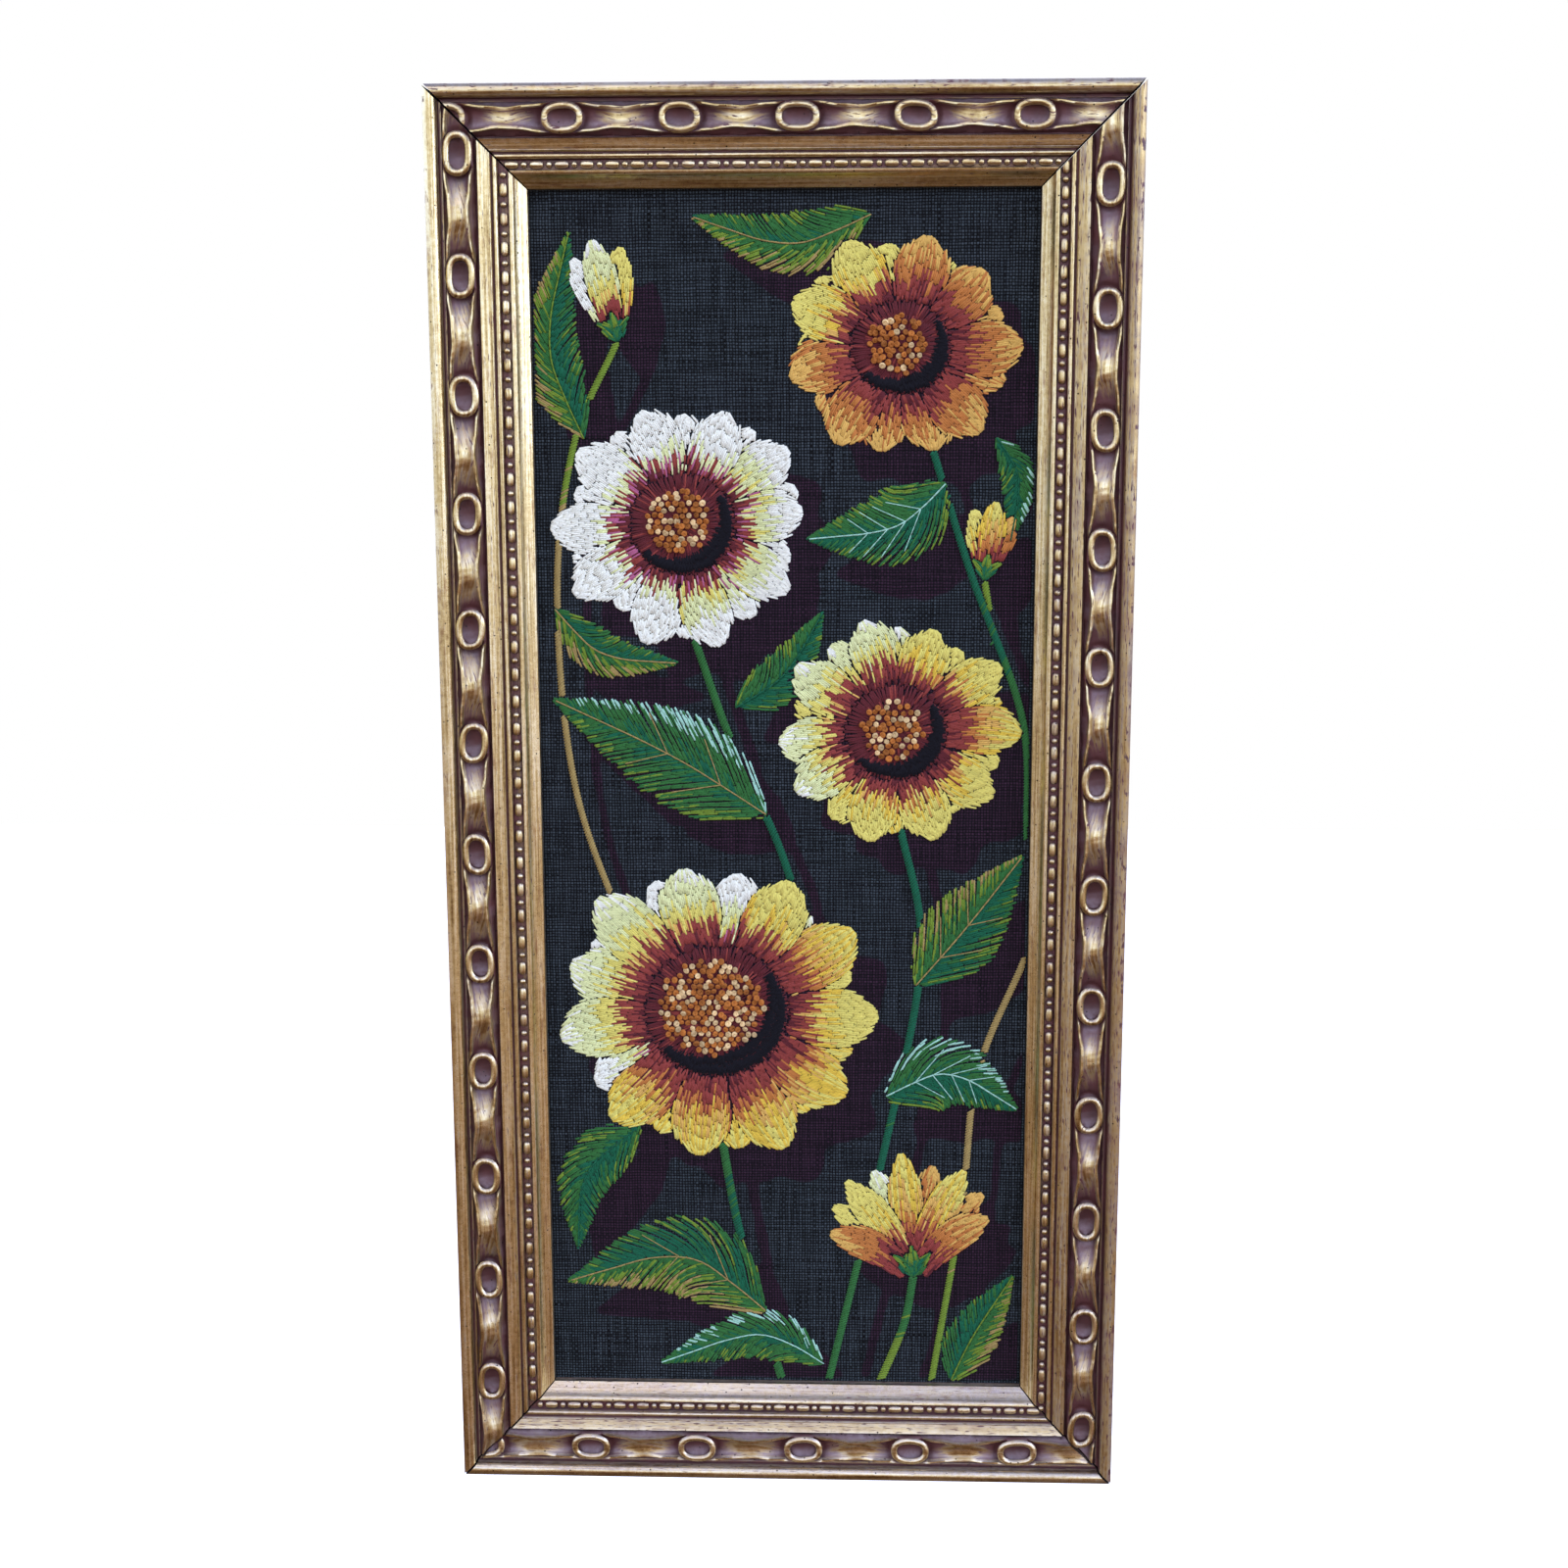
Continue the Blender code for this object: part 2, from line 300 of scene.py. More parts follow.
moulding = dict(
    mitreGapFace=0.9,  # mm, the mitres stand open at the face and close at the back
    mitreGapBack=0.08,
    roundSteps=8,  # faces of a half round
    roundWax=0.3,  # more wax at the foot of a half round
    rebateInset=31.5,  # bare wood further in than this and lower than rebateHigh
    rebateHigh=8,
    waxEnds=(0.02, 5.3, 19.0, 24.5, 31.3),  # insets where the side, lip, band, wide fillet and beading end
    # outer edge to sight edge, mm: inset, height, how much dark wax, how much grey dust with painted sky
    # light, radius of a half round
    section=[
        (0.0, 0.0, 0.85),
        (0.0, 12.0, 0.7),
        (0.0, 19.3, 0.25),
        (2.6, 21.2, 0.0, 0, 2.6),  # outer lip
        (5.25, 19.6, 0.5),
        (5.45, 18.3, 1.0),  # crevice beside the lip
        (5.7, 18.3, 0.8),
        (6.5, 18.2, 0.45, 0.8),
        (6.8, 16.9, 1.0),
        (18.7, 16.9, 1.0),  # bed of the carved band
        (19.5, 17.2, 1.0),
        (19.9, 18.8, 0.35),
        (20.2, 19.4, 0.0),
        (20.7, 19.2, 0.1),
        (22.4, 18.8, 0.2),  # wide fillet, tilted to the picture
        (24.0, 18.2, 0.25),
        (24.4, 18.5, 0.0),
        (24.8, 18.1, 0.4),
        (25.1, 16.9, 1.0),
        (25.4, 16.9, 1.0),
        (26.4, 16.8, 0.05, 0, 0.95),  # narrow fillet
        (27.5, 15.4, 0.8),
        (27.8, 14.9, 0.8),
        (31.2, 14.9, 0.7),  # channel of the beading
        (31.4, 15.6, 0.5),
        (31.75, 16.2, 0.0),  # inner fillet
        (32.5, 16.1, 0.0),
        (33.1, 15.6, 0.25),
        (33.5, 14.9, 0.3),
        (34.6, 13.6, 0.15),
        (36.0, 12.4, 0.05),  # bevel
        (37.5, 11.3, 0.05),
        (38.0, 10.8, 0.2),
        (38.0, 7.5, 0.6),
        (32.0, 7.5, 0.6),
        (32.0, 0.0, 0.6),
    ],
)
# ring and bead places in mm; wax: how much more wax lies on the side, lip, band, wide fillet, beading and
# bevel; partly real wax, partly painted shade and light that makes some rails darker or lighter than others,
# the top and right rails darkest
rails = [
    dict(
        name="top", turn=0, firstRing=53.5, ringPitch=45.1, beadPitch=9.8,
        wax=(0.0, 0.3, 0.23, 0.0, 0.02, -0.02),
    ),
    dict(
        name="left", turn=90, firstRing=42.0, ringPitch=45.85, beadPitch=11.1,
        wax=(0.0, 0.0, 0.03, -0.05, 0.03, -0.03),
    ),
    dict(
        name="bottom", turn=180, firstRing=39.8, ringPitch=45.4, beadPitch=9.8,
        wax=(0.0, 0.08, 0.05, 0.24, 0.14, 0.05),
    ),
    dict(
        name="right", turn=270, firstRing=38.5, ringPitch=46.35, beadPitch=9.9,
        wax=(0.0, 0.53, 0.15, 0.25, 0.18, 0.0),
    ),
]  # fmt: skip


# a rail's extra wax is partly real wax and partly painted shade: it darkens the rails that catch less light
# and lightens others
def extraWaxAndShade(rail, inset):
    return rail["wax"][sum(inset > end for end in moulding["waxEnds"])]


def railLength(rail):
    return frameTall if rail["turn"] % 180 == 90 else frameWide


def placeRail(bm, rail):
    # from lying along x with its outer edge at y 0 and its face up, to its side of the picture
    across = frameWide if rail["turn"] % 180 == 90 else frameTall
    turn = math.radians(rail["turn"])
    side = Matrix.Translation((-math.sin(turn) * across / 2, math.cos(turn) * across / 2, 0))
    back = Matrix.Translation((frameMiddle.x, cadHigh.y, frameMiddle.z))
    stand = back @ Matrix.Rotation(math.pi / 2, 4, "X")
    bmesh.ops.transform(bm, matrix=stand @ side @ Matrix.Rotation(turn, 4, "Z"), verts=bm.verts)


def mapRail(bm):
    uv = bm.loops.layers.uv.new("rail")
    for face in bm.faces:
        for loop in face.loops:
            loop[uv].uv = (loop.vert.co.x, loop.vert.co.y + loop.vert.co.z)


def sectionPoints():
    points = []
    for row in moulding["section"]:
        inset, height, wax, grey, radius = (*row, 0, 0)[:5]
        for step in range(moulding["roundSteps"] + 1 if radius else 1):
            angle = math.pi * (1 - step / moulding["roundSteps"])
            low = 1 - math.sin(angle) if radius else 0
            points.append(
                (
                    inset + radius * math.cos(angle),
                    height + radius * math.sin(angle),
                    wax + moulding["roundWax"] * low**2,
                    grey,
                )
            )
    return points


def makeMoulding(rail):
    bm = bmesh.new()
    hollow = bm.verts.layers.float.new("hollow")
    dustAndSkyLight = bm.verts.layers.float.new("dustAndSkyLight")
    start = []
    for inset, height, wax, grey in sectionPoints():
        vert = bm.verts.new((0, -inset * mm, height * mm))
        # the wax carries the rail's painted shade, and the dust carries painted sky light
        vert[hollow], vert[dustAndSkyLight] = wax + extraWaxAndShade(rail, inset), grey
        start.append(vert)
    edges = [bm.edges.new(pair) for pair in zip(start, start[1:] + start[:1])]
    made = bmesh.ops.extrude_edge_only(bm, edges=edges)["geom"]
    bmesh.ops.translate(bm, vec=(1, 0, 0), verts=vertsIn(made))
    bmesh.ops.edgeloop_fill(bm, edges=edges)
    bmesh.ops.edgeloop_fill(bm, edges=[edge for edge in bm.edges if edge.is_boundary])
    half = railLength(rail) / 2
    gapBack, gapFace = moulding["mitreGapBack"], moulding["mitreGapFace"]
    for vert in bm.verts:
        gap = gapBack + (gapFace - gapBack) * (vert.co.z / frameDeep)
        end = half + vert.co.y - gap * mm / math.sqrt(2)
        vert.co.x = end if vert.co.x > 0.5 else -end
    bmesh.ops.recalc_face_normals(bm, faces=bm.faces)
    mapRail(bm)
    for face in bm.faces:
        middle = face.calc_center_median() / mm
        inRebate = middle.y < -moulding["rebateInset"] and middle.z < moulding["rebateHigh"]
        isEnd, isBack = abs(face.normal.x) > 0.1, face.normal.z < -0.5
        face.material_index = 2 if isEnd else 1 if isBack or inRebate else 0
    placeRail(bm, rail)
    return finishPiece("moulding_" + rail["name"], bm, [gilding, pine, endGrainAndGapShade])


# The carved band: a ribbon with raised edges that waists between oval rings, mm
carving = dict(
    middle=12.7,  # inset of its centre line
    halfBand=6.2,
    bed=16.7,
    sunk=0.3,  # of its underside in the bed
    station=0.75,  # length of a step along the rail
    wide=5.6,  # half width beside a ring
    waist=3.7,
    waistShape=0.85,
    low=17.7,  # the ribbon's middle beside a ring
    high=21.2,
    edgeLow=20.2,
    edgeHigh=21.3,
    climbFrom=7.5,  # from a ring's middle to where the ribbon starts to rise
    climbRest=1.5,  # level stretch on each side of the waist
    climbShape=1.6,
    crownFrom=0.85,  # share of the rise past which the waist dips again
    # grey dust and painted sky light on the ribbon's slopes beside a ring
    crownDip=0.12,
    ribbonDustAndSkyLight=3.1,
    uneven=((0.05, 0.9, 0.4), (0.03, 2.3, 0.7)),  # ripples in height: size, turn in a mm, turn in a column
    sway=(0.12, 0.55),  # ripple sideways: size, turn in a mm
    ringLength=16.6,
    ringWidth=11.8,
    ringWire=2.7,
    ringSides=8,
    ringSteps=24,
    ringFlat=0.75,  # height of the wire, of its width
    ringSquare=2.5,  # 2 is an ellipse
    ringRise=20.2,
    ringClear=6,  # no ring's middle is nearer to the rail's end
    ringLean=0.06,  # no two rings are quite alike: lean along the rail, tilt across it, lopsided swelling
    ringTilt=0.025,
    ringSwell=0.035,
    ringHigh=1.05,
    ringWax=(0.41, 0.46),  # at the ring's middle height, and less by this for each mm up: rubbed bare on top
    # the rings take a share of the band's extra wax, and so of the rail's painted shade
    ringWaxAndShadeShare=1.2,  # of the wax that the rail's band has more than others
    bowl=0.8,  # how far out the hollow inside a ring goes
    bowlLow=17.05,
    bowlHigh=18.8,
    # grey dust and painted sky light in the hollow inside a ring
    bowlDustAndSkyLight=0.55,
    creviceAt=1.05,  # old wax round the ring, as a share of its size
    creviceWide=0.14,
    creviceDeep=0.75,
)


def ringDistance(along, rail):
    pitch = rail["ringPitch"]
    return abs((along - rail["firstRing"] + pitch / 2) % pitch - pitch / 2)


def carvedPoint(column, away, rail):
    # offset from the band's centre line, height, wax, and dust with painted sky light of one of 17 columns,
    # away mm from a ring
    nearRing = 0.5 + 0.5 * math.cos(math.tau * away / rail["ringPitch"])
    edge = carving["waist"] + (carving["wide"] - carving["waist"]) * nearRing ** carving["waistShape"]
    climbLength = rail["ringPitch"] / 2 - (carving["climbFrom"] + carving["climbRest"])
    climb = min(1.0, max(0.0, (away - carving["climbFrom"]) / climbLength))
    pit = 1 - climb
    greyed = carving["ribbonDustAndSkyLight"] * pit * (1 - pit)
    pastCrown = max(0.0, climb - carving["crownFrom"]) / (1 - carving["crownFrom"])
    rise = climb ** carving["climbShape"] - carving["crownDip"] * pastCrown
    middle = carving["low"] + (carving["high"] - carving["low"]) * rise
    crest = carving["edgeHigh"] + (carving["edgeLow"] - carving["edgeHigh"]) * nearRing
    outside = carving["halfBand"] - edge
    up = crest - middle
    offset, height, wax, grey = [
        (0, middle, pit, greyed),
        (0.5 * (edge - 2.2), middle + 0.03 * up, pit, greyed),
        (edge - 2.2, middle + 0.13 * up, 0.2 + 0.8 * pit, 0.9 * greyed),
        (edge - 1.2, middle + 0.42 * up, 0.42 + 0.45 * pit, 0.4 * greyed),
        (edge - 0.45, crest - 0.12, 0.05, 0),  # the raised edge
        (edge + 0.15, crest - 0.1, 0.0, 0),
        (edge + 0.6, crest - 1.2, 0.7, 0.3),  # and the trench outside it
        (edge + 0.6 + 0.5 * max(0, outside - 0.75), 18.5, 0.8, 0.7),
        (carving["halfBand"] + 0.15, 17.6, 0.95, 0.5),
    ][abs(column - 8)]
    fromRing = math.hypot(away / (carving["ringLength"] / 2), offset / (carving["ringWidth"] / 2))
    crevice = math.exp(-(((fromRing - carving["creviceAt"]) / carving["creviceWide"]) ** 2))
    offset = math.copysign(offset, column - 8)
    if fromRing < carving["bowl"]:
        slope = (fromRing / carving["bowl"]) ** 2
        height = carving["bowlLow"] + (carving["bowlHigh"] - carving["bowlLow"]) * slope
        return offset, height, 0.95 + 0.1 * slope, carving["bowlDustAndSkyLight"]
    return offset, height - carving["creviceDeep"] * crevice, max(wax, 1.1 * crevice), grey * (1 - crevice)


def cutMitres(bm, half):
    for end in (1, -1):
        cut = bmesh.ops.bisect_plane(
            bm,
            geom=bm.verts[:] + bm.edges[:] + bm.faces[:],
            dist=1e-7,
            plane_co=Vector((end * (half - moulding["mitreGapFace"] * mm / math.sqrt(2)), 0, 0)),
            plane_no=Vector((end, -1, 0)).normalized(),
            clear_outer=True,
        )
        edges = [item for item in cut["geom_cut"] if isinstance(item, bmesh.types.BMEdge)]
        bmesh.ops.holes_fill(bm, edges=edges)


def makeRing(bm):
    # a ring of flattened wire, a little squarer than an ellipse
    wire, power = carving["ringWire"] / 2, carving["ringSquare"]
    reach = ((carving["ringLength"] - wire * 2) / 2, (carving["ringWidth"] - wire * 2) / 2)
    circle = bmesh.ops.create_circle(bm, segments=carving["ringSides"], radius=wire)["verts"]
    for vert in circle:
        vert.co = Vector((reach[1] + vert.co.x, 0, vert.co.y * carving["ringFlat"]))
    spinRound(bm, circle, carving["ringSteps"])
    for vert in bm.verts:
        angle = math.atan2(vert.co.y, vert.co.x)
        across = math.hypot(vert.co.x, vert.co.y) - reach[1]
        squarer = (abs(math.cos(angle)) ** power + abs(math.sin(angle)) ** power) ** (-1 / power)
        vert.co.x = math.cos(angle) * (reach[0] * squarer + across)
        vert.co.y = math.sin(angle) * (reach[1] * squarer + across)
    bmesh.ops.recalc_face_normals(bm, faces=bm.faces)


def makeCarving(rail, rng):
    half = railLength(rail) / 2
    # the band's extra wax carries the rail's painted shade
    bandWaxAndShade = extraWaxAndShade(rail, carving["middle"])
    bm = bmesh.new()
    hollow = bm.verts.layers.float.new("hollow")
    dustAndSkyLight = bm.verts.layers.float.new("dustAndSkyLight")
    bmesh.ops.create_grid(bm, x_segments=round(2 * half / mm / carving["station"]), y_segments=16, size=1)
    for vert in bm.verts:
        along = vert.co.x * half / mm
        column = round((vert.co.y + 1) * 8)
        offset, height, wax, grey = carvedPoint(column, ringDistance(along + half / mm, rail), rail)
        vert[hollow], vert[dustAndSkyLight] = wax + bandWaxAndShade, grey
        for size, turn, shift in carving["uneven"]:
            height += size * math.sin(along * turn + shift * column)
        offset += carving["sway"][0] * math.sin(along * carving["sway"][1] + rail["turn"])
        vert.co = (along * mm, (offset - carving["middle"]) * mm, height * mm)
    made = bmesh.ops.extrude_face_region(bm, geom=bm.faces[:])["geom"]
    for vert in vertsIn(made):
        vert.co.z = (carving["bed"] - carving["sunk"]) * mm
    bmesh.ops.recalc_face_normals(bm, faces=bm.faces)
    ringTemplate = bmesh.new()
    makeRing(ringTemplate)
    ringMesh = bpy.data.meshes.new("ring")
    ringTemplate.to_mesh(ringMesh)
    ringTemplate.free()
    along = rail["firstRing"] - rail["ringPitch"]
    while along < 2 * half / mm - carving["ringClear"]:
        if along > carving["ringClear"]:
            before = len(bm.verts)
            bm.from_mesh(ringMesh)
            bm.verts.ensure_lookup_table()
            lean, tilt = [rng.uniform(-carving[key], carving[key]) for key in ("ringLean", "ringTilt")]
            bulge = rng.uniform(0, math.tau)
            middleWax, lessUp = carving["ringWax"]
            for vert in bm.verts[before:]:
                x, y, z = vert.co
                swell = 1 + carving["ringSwell"] * math.sin(2 * math.atan2(y, x) + bulge)
                vert[hollow] = middleWax - lessUp * z + carving["ringWaxAndShadeShare"] * bandWaxAndShade
                vert.co = (
                    (along - half / mm + x * swell + y * lean) * mm,
                    (y * swell - carving["middle"]) * mm,
                    (carving["ringRise"] + z * carving["ringHigh"] + y * tilt) * mm,
                )
        along += rail["ringPitch"]
    bpy.data.meshes.remove(ringMesh)
    cutMitres(bm, half)
    mapRail(bm)
    placeRail(bm, rail)
    return finishPiece("carving_" + rail["name"], bm, [gilding], 50)


# The beading: a long bead and a round bead by turns, mm
beading = dict(
    inset=29.5,
    rise=15.6,
    start=0.27,  # of the pitch, where the beads start
    long=(2.75, 1.6, 1.15),  # half length, half width, half height
    round=(1.25, 1.4, 1.15),
    uneven=(0.94, 1.05),  # size of a bead
    wax=0.1,  # on its top
    waxFrom=16.5,  # wax thickens from this height down
    waxDepth=1.3,
)


def makeBeading(rail, rng):
    half = railLength(rail) / 2
    bm = bmesh.new()
    reach = half / mm - beading["inset"]
    pitch = rail["beadPitch"]
    count = int(reach // pitch) + 1
    for step in range(-2 * count, 2 * count + 1):
        along = step * pitch / 2 + pitch * beading["start"]
        if abs(along) > reach + 1:
            continue
        isLong = step % 2 == 0
        long, wide, high = beading["long"] if isLong else beading["round"]
        bead = bmesh.ops.create_uvsphere(bm, u_segments=8, v_segments=8 if isLong else 6, radius=1)["verts"]
        grow = rng.uniform(*beading["uneven"])
        for vert in bead:
            y, z, x = vert.co
            if isLong:  # a barrel with blunt ends
                fuller = 1 / max(0.55, math.hypot(y, z) ** 0.5)
                x, y, z = math.copysign(abs(x) ** 0.8, x), y * fuller, z * fuller
            vert.co = (
                (along + x * long * grow) * mm,
                (y * wide - beading["inset"]) * mm,
                (beading["rise"] + z * high * grow) * mm,
            )
    bmesh.ops.recalc_face_normals(bm, faces=bm.faces)
    cutMitres(bm, half)
    hollow = bm.verts.layers.float.new("hollow")
    bm.verts.layers.float.new("dustAndSkyLight")
    for vert in bm.verts:
        deep = (beading["waxFrom"] - vert.co.z / mm) / beading["waxDepth"]
        # the beading's extra wax carries the rail's painted shade
        vert[hollow] = beading["wax"] + extraWaxAndShade(rail, beading["inset"]) + min(0.9, max(0.0, deep))
    mapRail(bm)
    placeRail(bm, rail)
    return finishPiece("beading_" + rail["name"], bm, [gilding], 60)


rng = np.random.default_rng(7)
for rail in rails:
    body = makeMoulding(rail)
    carved = makeCarving(rail, rng)
    beads = makeBeading(rail, rng)
    for piece in (body, carved, beads):
        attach(piece, "root")
    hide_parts("rail_" + rail["name"])
print("gilt rails made")


# Linen: charcoal plain weave stretched on the board, so matt, with a small regular grid and dark holes in it
def linenMaterial():
    material, tree, shader = newMaterial("charcoal plain-woven linen")
    cloth = addNode(tree, "ShaderNodeUVMap", uv_map="weave")
    shadow = addNode(tree, "ShaderNodeAttribute", attribute_name="plum").outputs["Fac"]
    # slubs and loose tension move the threads by up to a third of a millimetre
    sway = addNode(tree, "ShaderNodeTexNoise", {"Vector": cloth, "Scale": 90, "Detail": 2})
    swayed = addNode(
        tree,
        "ShaderNodeVectorMath",
        {0: sway.outputs["Color"], 1: (0.0009,) * 3, 2: cloth},
        operation="MULTIPLY_ADD",
    )
    split = addNode(tree, "ShaderNodeSeparateXYZ", {0: swayed})
    # thread pitch 1.18 mm both ways; the slubs are bands a thread wide and 20 mm long, a little lighter
    wave, slub = [], []
    for axis, stretch in enumerate(((800, 45, 1), (45, 800, 1))):
        phase = {0: split.outputs[axis], 1: math.pi / 0.00118}
        thread = addNode(tree, "ShaderNodeMath", phase, operation="MULTIPLY")
        wave.append(addNode(tree, "ShaderNodeMath", {0: thread}, operation="SINE"))
        turned = addNode(tree, "ShaderNodeMapping", {"Vector": cloth, "Scale": stretch})
        slub.append(addNode(tree, "ShaderNodeTexNoise", {"Vector": turned, "Scale": 1, "Detail": 1}))
    cross = addNode(tree, "ShaderNodeMath", {0: wave[0], 1: wave[1]}, operation="MULTIPLY")
    size = addNode(tree, "ShaderNodeMath", {0: cross}, operation="ABSOLUTE")
    height = addNode(tree, "ShaderNodeMath", {0: size, 1: 0.5}, operation="POWER")
    upper = addNode(tree, "ShaderNodeMapRange", {"Value": cross, "From Min": -0.3, "From Max": 0.3})
    threads = addNode(tree, "ShaderNodeMix", {0: upper, 2: slub[0], 3: slub[1]}, data_type="FLOAT")
    level = addNode(tree, "ShaderNodeMath", {0: height, 1: threads}, operation="MULTIPLY")
    linenStops = [(0.22, toLinear("020405")), (0.62, toLinear("414B4F"))]
    dyedStops = [(0.16, toLinear("050307")), (0.63, toLinear("3A2433"))]
    linen = addNode(tree, "ShaderNodeValToRGB", {"Fac": level}, stops=linenStops)
    dyed = addNode(tree, "ShaderNodeValToRGB", {"Fac": level}, stops=dyedStops)
    # the printed shadow has a soft, uneven edge
    edge = addNode(tree, "ShaderNodeMath", {0: sway, 1: 0.5, 2: shadow}, operation="MULTIPLY_ADD")
    printed = addNode(
        tree,
        "ShaderNodeMapRange",
        {"Value": edge, "From Min": 0.62, "From Max": 0.88},
        interpolation_type="SMOOTHSTEP",
    )
    both = addNode(tree, "ShaderNodeMix", {0: printed, 6: linen, 7: dyed}, data_type="RGBA")
    tree.links.new(both.outputs[2], shader.inputs["Base Color"])
    shader.inputs["Roughness"].default_value = 0.9
    shader.inputs["Specular IOR Level"].default_value = 0.2
    bump = addNode(tree, "ShaderNodeBump", {"Strength": 0.7, "Distance": 0.00035, "Height": height})
    tree.links.new(bump.outputs[0], shader.inputs["Normal"])
    return material


# Crewel wool: two plies twisted together, so soft, without gloss, with a faint rope twist and fuzz
def woolMaterial():
    material, tree, shader = newMaterial("two-ply crewel wool")
    yarn = addNode(tree, "ShaderNodeAttribute", attribute_name="yarn")
    strand = addNode(tree, "ShaderNodeUVMap", uv_map="strand")
    # the two plies turn once in 1.4 mm: u runs along the strand in mm, v once round it
    turned = addNode(tree, "ShaderNodeMapping", {"Vector": strand, "Scale": (math.tau / 14, math.tau / 5, 0)})
    twist = addNode(tree, "ShaderNodeTexWave", {"Vector": turned, "Scale": 1}, bands_direction="DIAGONAL")
    twist = twist.outputs["Fac"]
    place = addNode(tree, "ShaderNodeTexCoord").outputs["Object"]
    # fuzz 0.4 mm across
    fuzz = addNode(tree, "ShaderNodeTexNoise", {"Vector": place, "Scale": 2600, "Detail": 2})
    # the colour is painted darker in the grooves of the twist, as shade between the plies, and varied at
    # random by the fuzz
    twistShade = addNode(tree, "ShaderNodeMath", {0: twist, 1: 0.14, 2: 0.79}, operation="MULTIPLY_ADD")
    fuzzAndTwistShade = addNode(tree, "ShaderNodeMath", {0: fuzz, 1: 0.2, 2: twistShade}, operation="MULTIPLY_ADD")
    toned = addNode(
        tree, "ShaderNodeVectorMath", {0: yarn.outputs["Color"], "Scale": fuzzAndTwistShade}, operation="SCALE"
    )
    tree.links.new(toned.outputs[0], shader.inputs["Base Color"])
    shader.inputs["Roughness"].default_value = 0.75
    shader.inputs["Specular IOR Level"].default_value = 0.2
    shader.inputs["Sheen Weight"].default_value = 0.06
    relief = addNode(tree, "ShaderNodeMath", {0: fuzz, 1: 0.5, 2: twist}, operation="MULTIPLY_ADD")
    bump = addNode(tree, "ShaderNodeBump", {"Strength": 0.35, "Distance": 0.0001, "Height": relief})
    tree.links.new(bump.outputs[0], shader.inputs["Normal"])
    return material


# Hardboard: pressed brown fibre, so dull and mottled
def hardboardMaterial():
    material, tree, shader = newMaterial("brown hardboard")
    place = addNode(tree, "ShaderNodeTexCoord").outputs["Object"]
    # fibres 1 mm long, clouds 30 mm across
    fibre = addNode(tree, "ShaderNodeTexNoise", {"Vector": place, "Scale": 900, "Detail": 4})
    cloud = addNode(tree, "ShaderNodeTexNoise", {"Vector": place, "Scale": 35, "Detail": 3})
    both = addNode(tree, "ShaderNodeMath", {0: fibre, 1: cloud}, operation="ADD")
    tone = addNode(tree, "ShaderNodeMapRange", {"Value": both, "From Min": 0.5, "From Max": 1.5})
    browns = {0: tone, 6: toLinear("3E2A1A"), 7: toLinear("7A5A3A")}
    tint = addNode(tree, "ShaderNodeMix", browns, data_type="RGBA")
    tree.links.new(tint.outputs[2], shader.inputs["Base Color"])
    shader.inputs["Roughness"].default_value = 0.8
    bump = addNode(tree, "ShaderNodeBump", {"Strength": 0.3, "Distance": 0.0002, "Height": fibre})
    tree.links.new(bump.outputs[0], shader.inputs["Normal"])
    return material


linen, wool, hardboard = linenMaterial(), woolMaterial(), hardboardMaterial()
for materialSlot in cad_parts["mounting_board"].material_slots:
    materialSlot.material = hardboard

# The needlework is laid out on the cloth in mm: x to the right, y up, from the middle of the sight opening
clothLow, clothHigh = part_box("embroidered_cloth")
clothMiddle = (clothLow + clothHigh) / 2
needle = dict(
    strand=0.92,  # width of a strand
    thick=0.52,
    spacing=0.77,  # between rows
    longest=6.2,
    shortest=4.0,
    least=0.9,  # nothing shorter is left
    tuck=0.5,  # how far a cut stitch goes in under its neighbour
    light=(0.9, 1.07),  # lightness and width differ from stitch to stitch
    uneven=(0.92, 1.08),
    longer=0.45,  # a strand is this much longer than its stitch, to reach into the holes
    arch=0.3,  # how high a strand's middle line lies, and how much lower it is at its ends
    archDrop=0.12,
    dive=0.1,  # how far its tips go into the cloth
    reachX=98.8,  # half the sight opening, less 1.2 mm
    reachY=246.8,
    cell=0.5,  # of the map of what is already worked
    cover=0.4,  # how far to each side a stitch covers the cloth
)
stitches = []  # x0, y0, x1, y1, width, lift, red, green, blue
pending = []  # stitches that don't hide others yet
mapSize = (int(2 * needle["reachX"] / needle["cell"]) + 2, int(2 * needle["reachY"] / needle["cell"]) + 2)
worked = np.zeros(mapSize, bool)


def cellOf(x, y):
    return int((x + needle["reachX"]) / needle["cell"]), int((y + needle["reachY"]) / needle["cell"])


def isInside(x, y):
    return abs(x) < needle["reachX"] and abs(y) < needle["reachY"]


def isFree(x, y):
    return isInside(x, y) and not worked[cellOf(x, y)]


def between(a, b, share):
    return a[0] + (b[0] - a[0]) * share, a[1] + (b[1] - a[1]) * share


